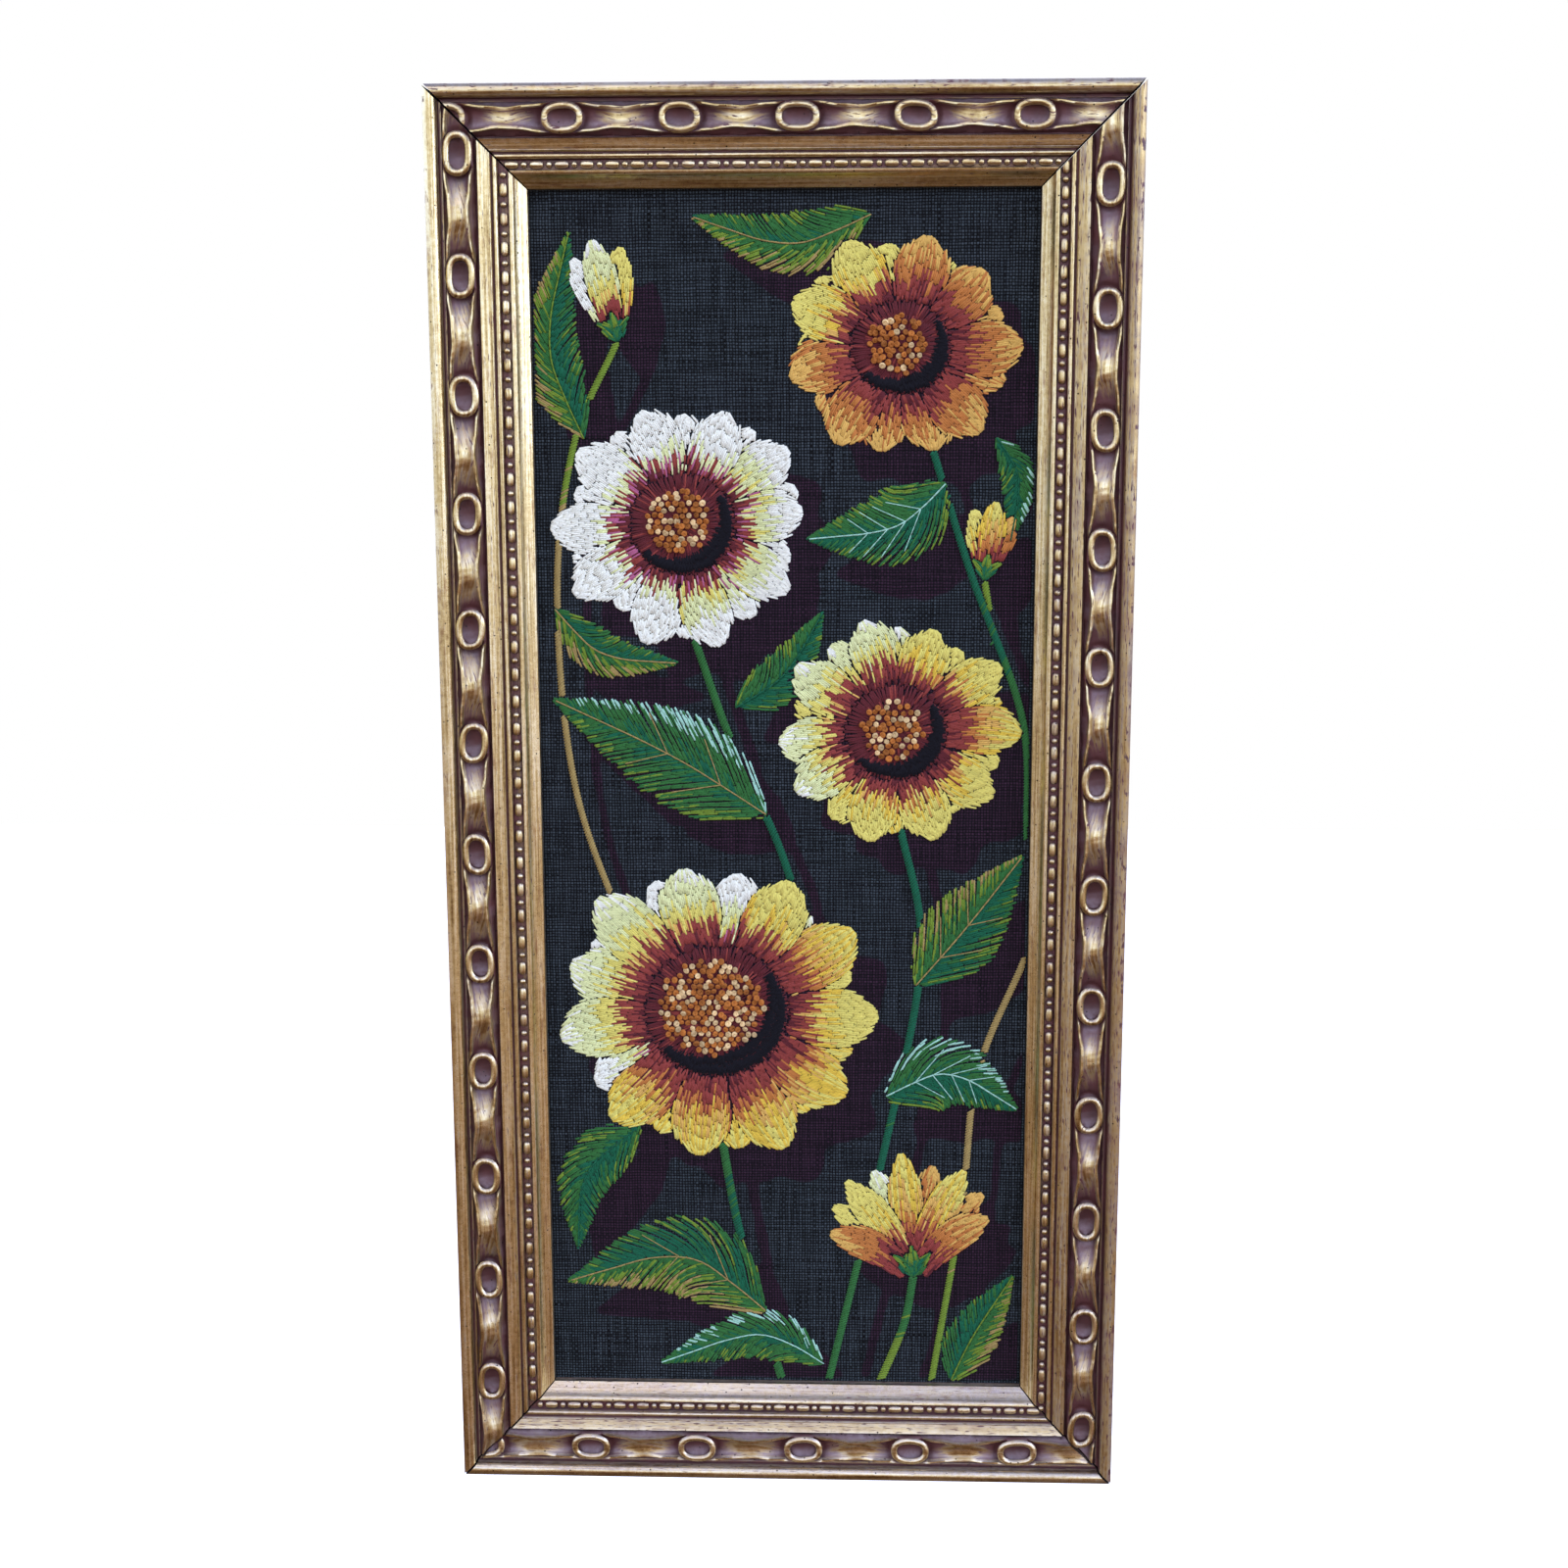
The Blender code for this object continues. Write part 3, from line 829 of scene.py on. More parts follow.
def addStitch(start, end, tone, width=1.0, lift=0.0, over=False):
    # the longest stretch that nothing covers yet; over lays it on top of what is there
    points = [between(start, end, share) for share in np.linspace(0, 1, 7)]
    best, run = (0, -1), None
    for i, point in enumerate([*points, None]):
        if point and (isInside(*point) if over else isFree(*point)):
            run = i if run is None else run
        elif run is not None:
            best = max(best, (run, i - 1), key=lambda pair: pair[1] - pair[0])
            run = None
    a, b = points[best[0]], points[best[1]]
    size = math.dist(a, b)
    if best[1] - best[0] < 2 or size < needle["least"]:
        return
    # where it was cut short, it still tucks in under its neighbour
    tuck = ((b[0] - a[0]) / size * needle["tuck"], (b[1] - a[1]) / size * needle["tuck"])
    if best[0] > 0:
        a = (a[0] - tuck[0], a[1] - tuck[1])
    if best[1] < len(points) - 1:
        b = (b[0] + tuck[0], b[1] + tuck[1])
    light = rng.uniform(*needle["light"])
    colour = [channel * light for channel in toLinear(tone)[:3]]
    stitches.append((*a, *b, needle["strand"] * width * rng.uniform(*needle["uneven"]), lift, *colour))
    pending.append((a, b))


def markWorked():
    # what is laid so far hides what comes after
    cover = needle["cover"]
    for a, b in pending:
        steps = max(2, int(math.dist(a, b) / cover))
        for share in np.linspace(0, 1, steps + 1):
            x, y = between(a, b, share)
            for dx, dy in ((0, 0), (cover, 0), (-cover, 0), (0, cover), (0, -cover)):
                if isInside(x + dx, y + dy):
                    worked[cellOf(x + dx, y + dy)] = True
    pending.clear()


def bend(*corners, bow=0.0):
    # a smooth path through the corners; bow swells a straight one to its left
    points = np.array(corners, float)
    if len(points) == 2:
        t = np.linspace(0, 1, 33)[:, None]
        along = points[1] - points[0]
        left = np.array([-along[1], along[0]]) / np.linalg.norm(along)
        path = points[0] + along * t + left * bow * 4 * t * (1 - t)
    else:
        ends = np.vstack([2 * points[0] - points[1], points, 2 * points[-1] - points[-2]])
        path = []
        for i in range(1, len(ends) - 2):
            p0, p1, p2, p3 = ends[i - 1 : i + 3]
            for t in np.linspace(0, 1, 17)[: 17 if i == len(ends) - 3 else 16]:
                square, cube = 2 * p0 - 5 * p1 + 4 * p2 - p3, 3 * p1 - p0 - 3 * p2 + p3
                path.append(0.5 * (2 * p1 + (p2 - p0) * t + square * t**2 + cube * t**3))
        path = np.array(path)
    distance = np.concatenate([[0], np.cumsum(np.linalg.norm(np.diff(path, axis=0), axis=1))])
    return path, distance


def spot(path, along, left=0.0):
    # the point along a path, moved to its left
    points, distance = path
    here, ahead, behind = [
        np.array([np.interp(s, distance, points[:, axis]) for axis in (0, 1)])
        for s in (along, along + 0.5, along - 0.5)
    ]
    way = (ahead - behind) / (np.linalg.norm(ahead - behind) or 1)
    return here[0] - way[1] * left, here[1] + way[0] * left


def halfWidth(outline, share):
    return float(np.interp(share, outline[:, 0], outline[:, 1], left=0, right=0))


yarns = dict(
    white="ECEEDB", lemon="DDE3A2", yellow="DED36A", gold="E0C045", tan="D9AE58", amber="C07A3A",
    rust="8E3D35", burgundy="5E2226", mauve="B06080", navy="07060F", emerald="0F5E3E", forest="2E6A30",
    olive="6F8A2A", mint="9FD0B8", straw="A08A50", cream="EBCB90", orange="B8702E",
)  # fmt: skip


def pickWool(zones, t, pick):
    # the zone that t lies in, and one of its wools
    wools = next(wools for limit, wools in zones if t <= limit).split()
    return yarns[wools[int(pick * len(wools))]]


petalRows = dict(
    converge=0.5,  # how far the rows draw together where a petal narrows
    jitter=0.07,  # each row carries its colours a little further or less far
    gap=0.35,  # the most between two stitches of a row
    least=1.1,  # no stitch is laid shorter
    edge=0.2,  # how far past the outline an end may go
    crown=0.12,  # the middle rows lie higher
)


def workAlong(path, outline, zones, lift=0.0):
    # rows of stitches running along a shape, drawn together where it narrows
    length = path[1][-1]
    widest = outline[:, 1].max()
    columns = int(widest / needle["spacing"])
    converge, edge = petalRows["converge"], petalRows["edge"]
    for column in range(-columns, columns + 1):
        row = rng.normal(0, petalRows["jitter"])
        pick = rng.uniform()
        along = rng.uniform(-needle["longest"], 0)
        while along < length:
            reach = rng.uniform(needle["shortest"], needle["longest"])
            ends = (max(along, 0), min(along + reach, length))
            along += reach + rng.uniform(0, petalRows["gap"])
            if ends[1] - ends[0] < petalRows["least"]:
                continue
            middle = halfWidth(outline, sum(ends) / 2 / length)
            if abs(column * needle["spacing"] * (converge * middle / widest + 1 - converge)) > middle:
                continue
            places = []
            for end in ends:
                half = halfWidth(outline, end / length)
                offset = column * needle["spacing"] * (converge * half / widest + 1 - converge)
                places.append(spot(path, end, min(max(offset, -half - edge), half + edge)))
            t = sum(ends) / 2 / length + row + rng.normal(0, petalRows["jitter"] * 0.3)
            crown = petalRows["crown"] * math.cos(column / (columns + 1) * 1.5)
            addStitch(*places, pickWool(zones, t, pick), lift=lift + crown)


leafRows = dict(
    slant=36,  # of a row to the midrib, degrees
    slantUneven=(0.93, 1.07),
    closer=0.86,  # rows lie closer than along a petal
    before=0.25,  # rows start this share of the length before the leaf, so that they fill its foot
    fromRib=0.15,
    edge=(0.92, 1.1),  # how far a row goes, of the way to the outline
    jitter=0.1,  # each row carries its colours a little further or less far
    gap=0.3,  # the most between two stitches of a row
)


def workSlanted(path, outline, zones):
    # a leaf: rows of stitches from the midrib out and forward to each edge
    length = path[1][-1]
    widest = outline[:, 1].max()
    step = leafRows["closer"] * needle["spacing"] / math.sin(math.radians(leafRows["slant"]))
    for side, zone in ((1, zones["far"]), (-1, zones["near"])):
        for along in np.arange(-leafRows["before"] * length, length, step):
            turn = math.radians(leafRows["slant"] * side * rng.uniform(*leafRows["slantUneven"]))
            reach = rng.uniform(-needle["longest"], 0)
            grow, pick, row = rng.uniform(*leafRows["edge"]), rng.uniform(), rng.normal(0, leafRows["jitter"])

            def isOutside(place):
                return abs(place[1]) > halfWidth(outline, place[0] / length) * grow

            while reach < length:
                size = rng.uniform(needle["shortest"], needle["longest"])
                ends = (max(reach, leafRows["fromRib"]), reach + size)
                reach += size + rng.uniform(0, leafRows["gap"])
                first, last = [(along + end * math.cos(turn), end * math.sin(turn)) for end in ends]
                if isOutside(first) and isOutside(last):
                    if ends[0] * abs(math.sin(turn)) > widest:
                        break
                    continue
                if isOutside(first) or isOutside(last):  # pull the outer end back to the edge
                    inner, outer = (last, first) if isOutside(first) else (first, last)
                    for _ in range(5):
                        middle = ((inner[0] + outer[0]) / 2, (inner[1] + outer[1]) / 2)
                        if isOutside(middle):
                            outer = middle
                        else:
                            inner = middle
                    if outer == first or math.dist(first, inner) < needle["least"]:
                        continue
                    last = inner
                s, left = (first[0] + last[0]) / 2, (first[1] + last[1]) / 2
                t = abs(left) / (halfWidth(outline, s / length) or 1) + row + rng.normal(0, 0.04)
                addStitch(spot(path, *first), spot(path, *last), pickWool(zone, t, pick))


cording = dict(
    step=1.15,  # from stitch to stitch along a stem
    reach=1.1,  # along the stem, on each side of the stitch's middle
    width=1.22,
    lift=(0.15, 0.27),
)


def workStem(path, wools, half):
    # short slanted stitches side by side, as in a corded stem
    reach = cording["reach"]
    for along in np.arange(0, path[1][-1], cording["step"]):
        share = along / path[1][-1]
        wool = wools[max(0, min(len(wools) - 1, int(share * len(wools) + rng.normal(0, 0.15))))]
        start, end = spot(path, along - reach, half), spot(path, along + reach, -half)
        addStitch(start, end, yarns[wool], width=cording["width"], lift=rng.uniform(*cording["lift"]))


def workVein(path, tone, width=0.75, lift=0.42):
    # a line of stitches end to end, laid over the leaf
    along = 0.0
    while along < path[1][-1] - 1:
        reach = min(rng.uniform(3, 4.2), path[1][-1] - along)
        addStitch(spot(path, along), spot(path, along + reach), tone, width, lift, over=True)
        along += reach


# petals, from their root to their tip: which wools, up to what share of the length
root = (0.12, "burgundy"), (0.27, "rust rust mauve")
petalTones = dict(
    white=[*root, (0.4, "lemon"), (2, "white")],
    pearl=[*root, (0.42, "lemon yellow"), (0.62, "lemon"), (2, "white")],
    lemon=[
        (0.13, "burgundy"), (0.27, "rust"), (0.36, "tan rust"), (0.55, "yellow"), (0.85, "lemon"),
        (2, "lemon white"),
    ],
    yellow=[(0.14, "burgundy"), (0.3, "rust"), (0.38, "amber tan"), (0.6, "gold yellow"), (2, "yellow")],
    gold=[(0.16, "burgundy rust"), (0.34, "rust"), (0.46, "amber"), (0.68, "gold tan"), (2, "gold yellow")],
    orange=[(0.2, "burgundy rust"), (0.38, "rust"), (0.6, "amber"), (0.84, "amber tan"), (2, "tan")],
)  # fmt: skip
# share of the length, share of the widest half width
petalOutline = np.array([
    (0, 0.5), (0.12, 0.64), (0.3, 0.84), (0.48, 0.98), (0.6, 1), (0.74, 0.92), (0.85, 0.72), (0.93, 0.46),
    (0.98, 0.22), (1, 0.1),
])  # fmt: skip
leafOutline = np.array([
    (0, 0.05), (0.05, 0.3), (0.15, 0.68), (0.28, 0.95), (0.4, 1), (0.55, 0.88), (0.7, 0.64), (0.85, 0.34),
    (0.95, 0.12), (1, 0),
])  # fmt: skip
# pale petals stand to the upper left, deep ones to the lower right; middle: how much of the eye has knots
flowers = [
    dict(
        at=(-29, -84), reach=69, eye=28, middle=0.8, petals=11, squash=0.94,
        pale="lemon pearl", deep="yellow gold",
    ),
    dict(
        at=(-41, 118), reach=52, eye=19.5, middle=0.7, petals=10, squash=0.96,
        pale="white white", deep="white pearl",
    ),
    dict(
        at=(46, 187), reach=48, eye=18, middle=0.68, petals=9, squash=0.93,
        pale="yellow orange", deep="orange orange",
    ),
    dict(
        at=(45, 34), reach=50, eye=19, middle=0.68, petals=10, squash=0.95,
        pale="lemon yellow", deep="yellow gold",
    ),
]  # fmt: skip
# the eye of a flower is worked in rounds, then shaded with a navy crescent, then knotted
eyeWork = dict(
    round=4.6,  # about how wide a round is
    rim=1.04,  # where the outermost round ends, of the eye's radius
    overlap=1.12,  # how wide a round is worked, of its share of the eye
    rust=0.12,  # share of rust among the burgundy
    shadeMoved=0.29,  # the crescent goes round a circle moved to the upper left by this, of the eye's radius
    shadeCircle=0.97,  # size of that circle, of the eye's radius
    shadeEnd=0.93,  # the crescent's horns end where the circle comes this far out
    shadeTurn=52,  # degrees, from the right down to the middle of the crescent
    shadeClose=1.15,  # its stitches lie closer than others
    knotGap=2.75,
    knotStray=0.32,
    knotAside=0.07,  # how far the knots are drawn to the upper left, of the eye's radius
    knotSize=(1.02, 1.28),
    knotTight=0.98,  # pulled in by this
    knotLift=0.8,
    knotLight=(0.6, 1.12),
    knotWool=1.5,  # mm of wool along a knot's radius
)
petalRing = dict(
    foot=0.97,  # where a petal starts, of the eye's radius
    touch=0.66,  # petals touch at this share of the flower's reach
    uneven=(0.93, 1.03),
    stray=0.05,  # in angle
    bow=2.5,
    behind=0.9,  # length of the petals behind, of those in front
    paleFrom=135,  # degrees, where the pale petals stand
)
knots = []  # x, y, size, turn, lift, red, green, blue


def flowerPoint(flower, angle, radius):
    x, y = math.cos(angle) * radius, math.sin(angle) * radius * flower["squash"]
    return (flower["at"][0] + x, flower["at"][1] + y)


def workEye(flower):
    eye = flower["eye"]
    bands = round(eye / eyeWork["round"])
    for band in range(bands):  # from the outside in
        outer = eyeWork["rim"] - band / bands
        inner = outer - eyeWork["overlap"] / bands
        count = int(math.tau * eye * (inner + outer) / 2 / needle["spacing"])
        for step in range(count):
            angle = step / count * math.tau + band * 0.3
            tone = yarns["rust" if rng.uniform() < eyeWork["rust"] else "burgundy"]
            a = flowerPoint(flower, angle, max(0.5, eye * inner - rng.uniform(0, 1.2)))
            b = flowerPoint(flower, angle + rng.normal(0, 0.02), eye * outer + rng.uniform(-0.3, 1.5))
            addStitch(a, b, tone, lift=0.12 + 0.04 * band, over=True)
        markWorked()


def workEyeShade(flower):
    # a navy crescent at the lower right of the eye, from its rim in to a circle moved to the upper left
    eye, moved, circle = flower["eye"], eyeWork["shadeMoved"], eyeWork["shadeCircle"]
    count = int(math.tau * eye / needle["spacing"] * eyeWork["shadeClose"])
    for step in range(count):
        angle = step / count * math.tau
        toShade = math.cos(angle + math.radians(eyeWork["shadeTurn"]))
        edge = math.sqrt(circle**2 - moved**2 * (1 - toShade**2)) - moved * toShade
        if edge > eyeWork["shadeEnd"]:
            continue
        cuts = [eye * edge + rng.uniform(-1.4, 0.8), eye * eyeWork["rim"] + rng.uniform(-0.8, 0.6)]
        if cuts[1] - cuts[0] >= needle["longest"]:
            cuts.insert(1, sum(cuts) / 2 + rng.uniform(-0.8, 0.8))
        for near, far in zip(cuts, cuts[1:]):
            ends = flowerPoint(flower, angle, near), flowerPoint(flower, angle, far)
            addStitch(*ends, yarns["navy"], lift=0.34, over=True)
    markWorked()


def tieKnots(flower):
    # knots crowd the middle in rows, drawn a little to the upper left, with gaps, and more cream outside
    reach, aside = flower["eye"] * flower["middle"], flower["eye"] * eyeWork["knotAside"]
    gap, stray = eyeWork["knotGap"], eyeWork["knotStray"]
    for row in range(-20, 21):
        for column in range(-20, 21):
            x = (column + 0.5 * (row % 2)) * gap + rng.normal(0, stray)
            y = row * gap * 0.87 + rng.normal(0, stray)
            if math.hypot(x, y) > reach * rng.uniform(0.9, 1.03) or rng.uniform() > 0.93:
                continue
            cream = rng.uniform() < 0.2 + 0.2 * math.hypot(x, y) / reach
            light = rng.uniform(*eyeWork["knotLight"])
            colour = [channel * light for channel in toLinear(yarns["cream" if cream else "orange"])[:3]]
            at = (flower["at"][0] + x - aside, flower["at"][1] + y * flower["squash"] + aside)
            size, turn = rng.uniform(*eyeWork["knotSize"]), rng.uniform(0, math.tau)
            knots.append((*at, size, turn, rng.uniform(0, eyeWork["knotLift"]), *colour))


def workFlower(flower):
    workEye(flower)
    workEyeShade(flower)
    tieKnots(flower)
    count = flower["petals"]
    # every second petal in front, and a ring behind, in the gaps
    order = [(k, 1) for k in range(0, count, 2)] + [(k, 1) for k in range(1, count, 2)]
    order += [(k + 0.5, petalRing["behind"]) for k in range(count)]
    for petal, size in order:
        angle = petal / count * math.tau + (rng.normal(0, petalRing["stray"]) if size == 1 else 0)
        reach = flower["reach"] * rng.uniform(*petalRing["uneven"]) * size
        wide = math.pi * flower["reach"] * petalRing["touch"] / count
        start = flowerPoint(flower, angle, flower["eye"] * petalRing["foot"])
        end = flowerPoint(flower, angle, reach)
        path = bend(start, end, bow=rng.uniform(-petalRing["bow"], petalRing["bow"]))
        light = 0.5 + 0.5 * math.cos(angle - math.radians(petalRing["paleFrom"]))
        families = flower["pale" if light + rng.normal(0, 0.13) > 0.5 else "deep"].split()
        workAlong(path, petalOutline * (1, wide), petalTones[families[int(rng.integers(2))]])
        markWorked()


pieceStarts = [("flowers", 0)]
for flower in flowers:
    workFlower(flower)

# a flower seen from the side, and two buds: petals fan from a green cup
# petals: lean, length and wools of each
sideways = [
    dict(
        foot=(54, -200), lean=4, half=7.5, cup=11,
        petals=[
            (-58, 40, "orange"), (54, 41, "orange"), (-30, 51, "yellow"), (28, 52, "gold"), (-2, 55, "gold"),
            (-44, 46, "yellow"), (42, 47, "orange"), (13, 50, "orange"), (-16, 50, "lemon"),
        ],
    ),
    dict(
        foot=(-66, 190), lean=12, half=6.5, cup=9,
        petals=[(-2, 40, "lemon"), (-17, 36, "white"), (15, 36, "yellow")],
    ),
    dict(
        foot=(80, 96), lean=-8, half=5.5, cup=8,
        petals=[(0, 31, "gold"), (-18, 28, "yellow"), (17, 27, "orange")],
    ),
]  # fmt: skip
cupLeaves = dict(
    half=0.34,  # half width, of the cup's length
    leaves=((0, 1.25), (-38, 1.15), (38, 1.15)),  # lean in degrees, length of the cup's
    tones=[(0.5, "emerald forest"), (2, "forest olive")],
    lift=0.15,
)


def fromFoot(bud, angle, reach):
    turn = math.radians(90 + bud["lean"] + angle)
    return bud["foot"][0] + math.cos(turn) * reach, bud["foot"][1] + math.sin(turn) * reach


for bud in sideways:
    cupOutline = leafOutline * (1, bud["cup"] * cupLeaves["half"])
    for angle, size in cupLeaves["leaves"]:
        path = bend(bud["foot"], fromFoot(bud, angle, bud["cup"] * size), bow=-angle * 0.03)
        workAlong(path, cupOutline, cupLeaves["tones"], lift=cupLeaves["lift"])
    markWorked()
    for angle, size, family in bud["petals"]:
        path = bend(fromFoot(bud, -angle, 3), fromFoot(bud, -angle, size), bow=angle * 0.06)
        workAlong(path, petalOutline * (1, bud["half"]), petalTones[family])
        markWorked()
pieceStarts.append(("leaves", len(stitches)))

# leaves, from the midrib to the edge
leafTones = dict(
    deep=[(0.35, "emerald"), (0.75, "emerald forest"), (2, "forest forest olive")],
    green=[(0.3, "emerald forest"), (0.7, "forest"), (2, "forest olive")],
    olive=[(0.25, "forest"), (0.6, "forest olive"), (2, "olive straw")],
    mint=[(0.35, "emerald forest"), (0.7, "forest"), (2, "mint mint forest")],
)
leaves = [
    dict(path=[(-8, 0), (-46, 24), (-96, 48)], half=19, far="green", near="mint", rib="straw", veins=2),
    dict(path=[(34, 238), (2, 227), (-38, 238)], half=12, far="olive", near="green", rib="straw", veins=0),
    dict(path=[(64, 134), (44, 117), (8, 112)], half=15, far="deep", near="green", rib="mint", veins=4),
    dict(
        path=[(-80, 152), (-93, 188), (-84, 234)], half=11.5, far="olive", near="deep", rib="olive", veins=0
    ),
    dict(path=[(54, -72), (74, -48), (98, -16)], half=16, far="olive", near="deep", rib="straw", veins=2),
    dict(path=[(42, -120), (68, -110), (98, -126)], half=15, far="mint", near="deep", rib="mint", veins=4),
    dict(
        path=[(-9, -216), (-44, -192), (-95, -204)], half=18, far="olive", near="deep", rib="straw", veins=2
    ),
    dict(
        path=[(-62, -134), (-85, -156), (-89, -190)],
        half=12,
        far="deep",
        near="green",
        rib="emerald",
        veins=0,
    ),
    dict(path=[(16, -240), (-12, -227), (-56, -241)], half=11, far="green", near="mint", rib="mint", veins=0),
    dict(path=[(70, -248), (80, -226), (97, -198)], half=11, far="deep", near="olive", rib="olive", veins=0),
    dict(path=[(-20, 44), (0, 58), (16, 84)], half=10, far="green", near="deep", rib="emerald", veins=0),
    dict(path=[(-93, 84), (-74, 66), (-42, 62)], half=9, far="deep", near="olive", rib="straw", veins=0),
    dict(path=[(84, 152), (93, 136), (90, 110)], half=7, far="mint", near="deep", rib="emerald", veins=0),
]  # fmt: skip
veining = dict(
    ribEnd=0.97,  # the midrib ends here, of the leaf's length
    ribLeast=12,  # no midrib where less of the leaf shows
    start=0.22,  # pairs of veins start here, of the leaf's length
    over=0.5,  # and are spread over this share of it
    out=0.72,  # how far a vein goes out, of the way to the edge
    forward=1.2,  # and forward, of how far it goes out
    width=0.55,
)
for leaf in leaves:
    path = bend(*leaf["path"])
    length = path[1][-1]
    rib = yarns[leaf["rib"]]
    tones = {side: leafTones[leaf[side]] for side in ("far", "near")}
    workSlanted(path, leafOutline * (1, leaf["half"]), tones)
    # the midrib starts where the leaf comes out from under a flower
    seen = [isFree(*spot(path, s)) for s in np.linspace(0, length, 40)]
    first = length * (seen.index(True) / 39 if True in seen else 1)
    ribPath = bend(*[spot(path, s) for s in np.linspace(first, length * veining["ribEnd"], 6)])
    if length - first > veining["ribLeast"]:
        workVein(ribPath, rib)
    for vein in range(leaf["veins"]):
        along = length * (veining["start"] + veining["over"] * vein / leaf["veins"])
        if along > first:
            out = leaf["half"] * veining["out"] * halfWidth(leafOutline, along / length + 0.1)
            for side in (1, -1):
                tip = spot(path, along + out * veining["forward"], side * out)
                workVein(bend(spot(path, along), tip), rib, veining["width"])
    markWorked()
pieceStarts.append(("stems", len(stitches)))

stems = [
    dict(path=[(-30, -120), (-20, -180), (-2, -248)], half=1.7, wools="forest emerald forest"),
    dict(path=[(46, 0), (56, -60), (40, -150), (18, -248)], half=1.5, wools="emerald emerald forest"),
    dict(path=[(58, 150), (74, 100), (96, 40), (99, -10)], half=1.4, wools="emerald forest"),
    dict(path=[(99, -60), (80, -110), (74, -170), (62, -248)], half=1.3, wools="straw straw olive"),
    dict(path=[(-38, 76), (-22, 30), (-4, -10), (6, -40)], half=1.5, wools="forest emerald"),
    dict(path=[(54, -200), (50, -222), (40, -248)], half=1.6, wools="forest olive"),
    dict(
        path=[(-66, 190), (-84, 150), (-92, 90), (-86, 10), (-62, -62)],
        half=1.2,
        wools="olive straw straw straw",
    ),
    dict(path=[(80, 96), (82, 84), (84, 70)], half=1.2, wools="olive forest"),
]
for stem in stems:
    workStem(bend(*stem["path"]), stem["wools"].split(), stem["half"])
    markWorked()
print("needlework laid out:", len(stitches), "stitches,", len(knots), "knots")


def strandTemplate():
    # one strand of wool lying along x, 1 long and 1 wide, drawn in to a point at both ends
    bm = bmesh.new()
    bmesh.ops.create_uvsphere(bm, u_segments=5, v_segments=4, radius=0.5)
    bmesh.ops.rotate(bm, verts=bm.verts, matrix=Matrix.Rotation(math.pi / 2, 3, "Y"))
    for vert in bm.verts:
        if abs(abs(vert.co.x) - 0.354) < 0.05:  # the rings on each side of the middle one
            vert.co = (math.copysign(0.43, vert.co.x), vert.co.y * 1.3, vert.co.z * 1.3)
    bmesh.ops.triangulate(bm, faces=bm.faces)
    return bm


def knotTemplate():
    # a French knot: one turn of wool round a dimple, with the strand that goes down through it
    bm = bmesh.new()
    circle = bmesh.ops.create_circle(bm, segments=6, radius=0.5)["verts"]
    for vert in circle:
        vert.co = Vector((0.72 + vert.co.x, 0, 0.7 + vert.co.y * 1.5))
    spinRound(bm, circle, 9)
    for vert in bm.verts:  # the turn climbs and swells to one side
        side = math.sin(math.atan2(vert.co.y, vert.co.x))
        vert.co.z += 0.45 * side * (vert.co.z > 0.6)
        vert.co.x, vert.co.y = vert.co.x * (1 + 0.12 * side), vert.co.y * (0.92 + 0.1 * side)
    for vert in bmesh.ops.create_uvsphere(bm, u_segments=5, v_segments=4, radius=1)["verts"]:
        x, y, z = vert.co
        vert.co = Vector((z * 0.95 + 0.3, x * 0.34, 1.1 + y * 0.34 - 0.5 * abs(z) ** 3))
    bmesh.ops.recalc_face_normals(bm, faces=bm.faces)
    bmesh.ops.triangulate(bm, faces=bm.faces)
    return bm


def joinCopies(name, template, places, colours, lengths):
    # one mesh of many copies: places holds each copy's points on the cloth in mm, height last
    copies, size = places.shape[0], len(template.verts)
    template.verts.index_update()
    faces = np.array([[vert.index for vert in face.verts] for face in template.faces])
    angles = []
    for face in template.faces:
        turns = [math.atan2(vert.co.z, vert.co.y) / math.tau for vert in face.verts]
        angles.append([turn + (max(turns) - min(turns) > 0.5 and turn < 0) for turn in turns])
    along = np.array([vert.co.x for vert in template.verts])[faces].ravel()
    template.free()
    x, y, z = places[..., 0], places[..., 1], places[..., 2]
    coords = np.stack([clothMiddle.x + x * mm, clothLow.y - z * mm, clothMiddle.z + y * mm], axis=-1)
    allFaces = (faces[None] + (np.arange(copies) * size)[:, None, None]).reshape(-1, 3)
    mesh = bpy.data.meshes.new(name)
    mesh.vertices.add(copies * size)
    mesh.vertices.foreach_set("co", coords.astype(np.float32).ravel())
    mesh.loops.add(allFaces.size)
    mesh.loops.foreach_set("vertex_index", allFaces.astype(np.int32).ravel())
    mesh.polygons.add(len(allFaces))
    mesh.polygons.foreach_set("loop_start", np.arange(0, allFaces.size, 3, dtype=np.int32))
    mesh.update(calc_edges=True)
    painted = np.ones((copies, size, 4), np.float32)
    painted[..., :3] = colours[:, None, :]
    mesh.color_attributes.new("yarn", "FLOAT_COLOR", "POINT").data.foreach_set("color", painted.ravel())
    uv = np.zeros((copies, along.size, 2), np.float32)
    uv[..., 0] = along[None] * lengths[:, None] + (np.arange(copies) * 0.37 % 1.4)[:, None]  # no two alike
    uv[..., 1] = np.array(angles).ravel()[None]
    mesh.uv_layers.new(name="strand").data.foreach_set("uv", uv.ravel())
    mesh.materials.append(wool)
    mesh.shade_smooth()
    mesh.validate()
    piece = addObject(name, mesh)
    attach(piece, "root")
    return piece


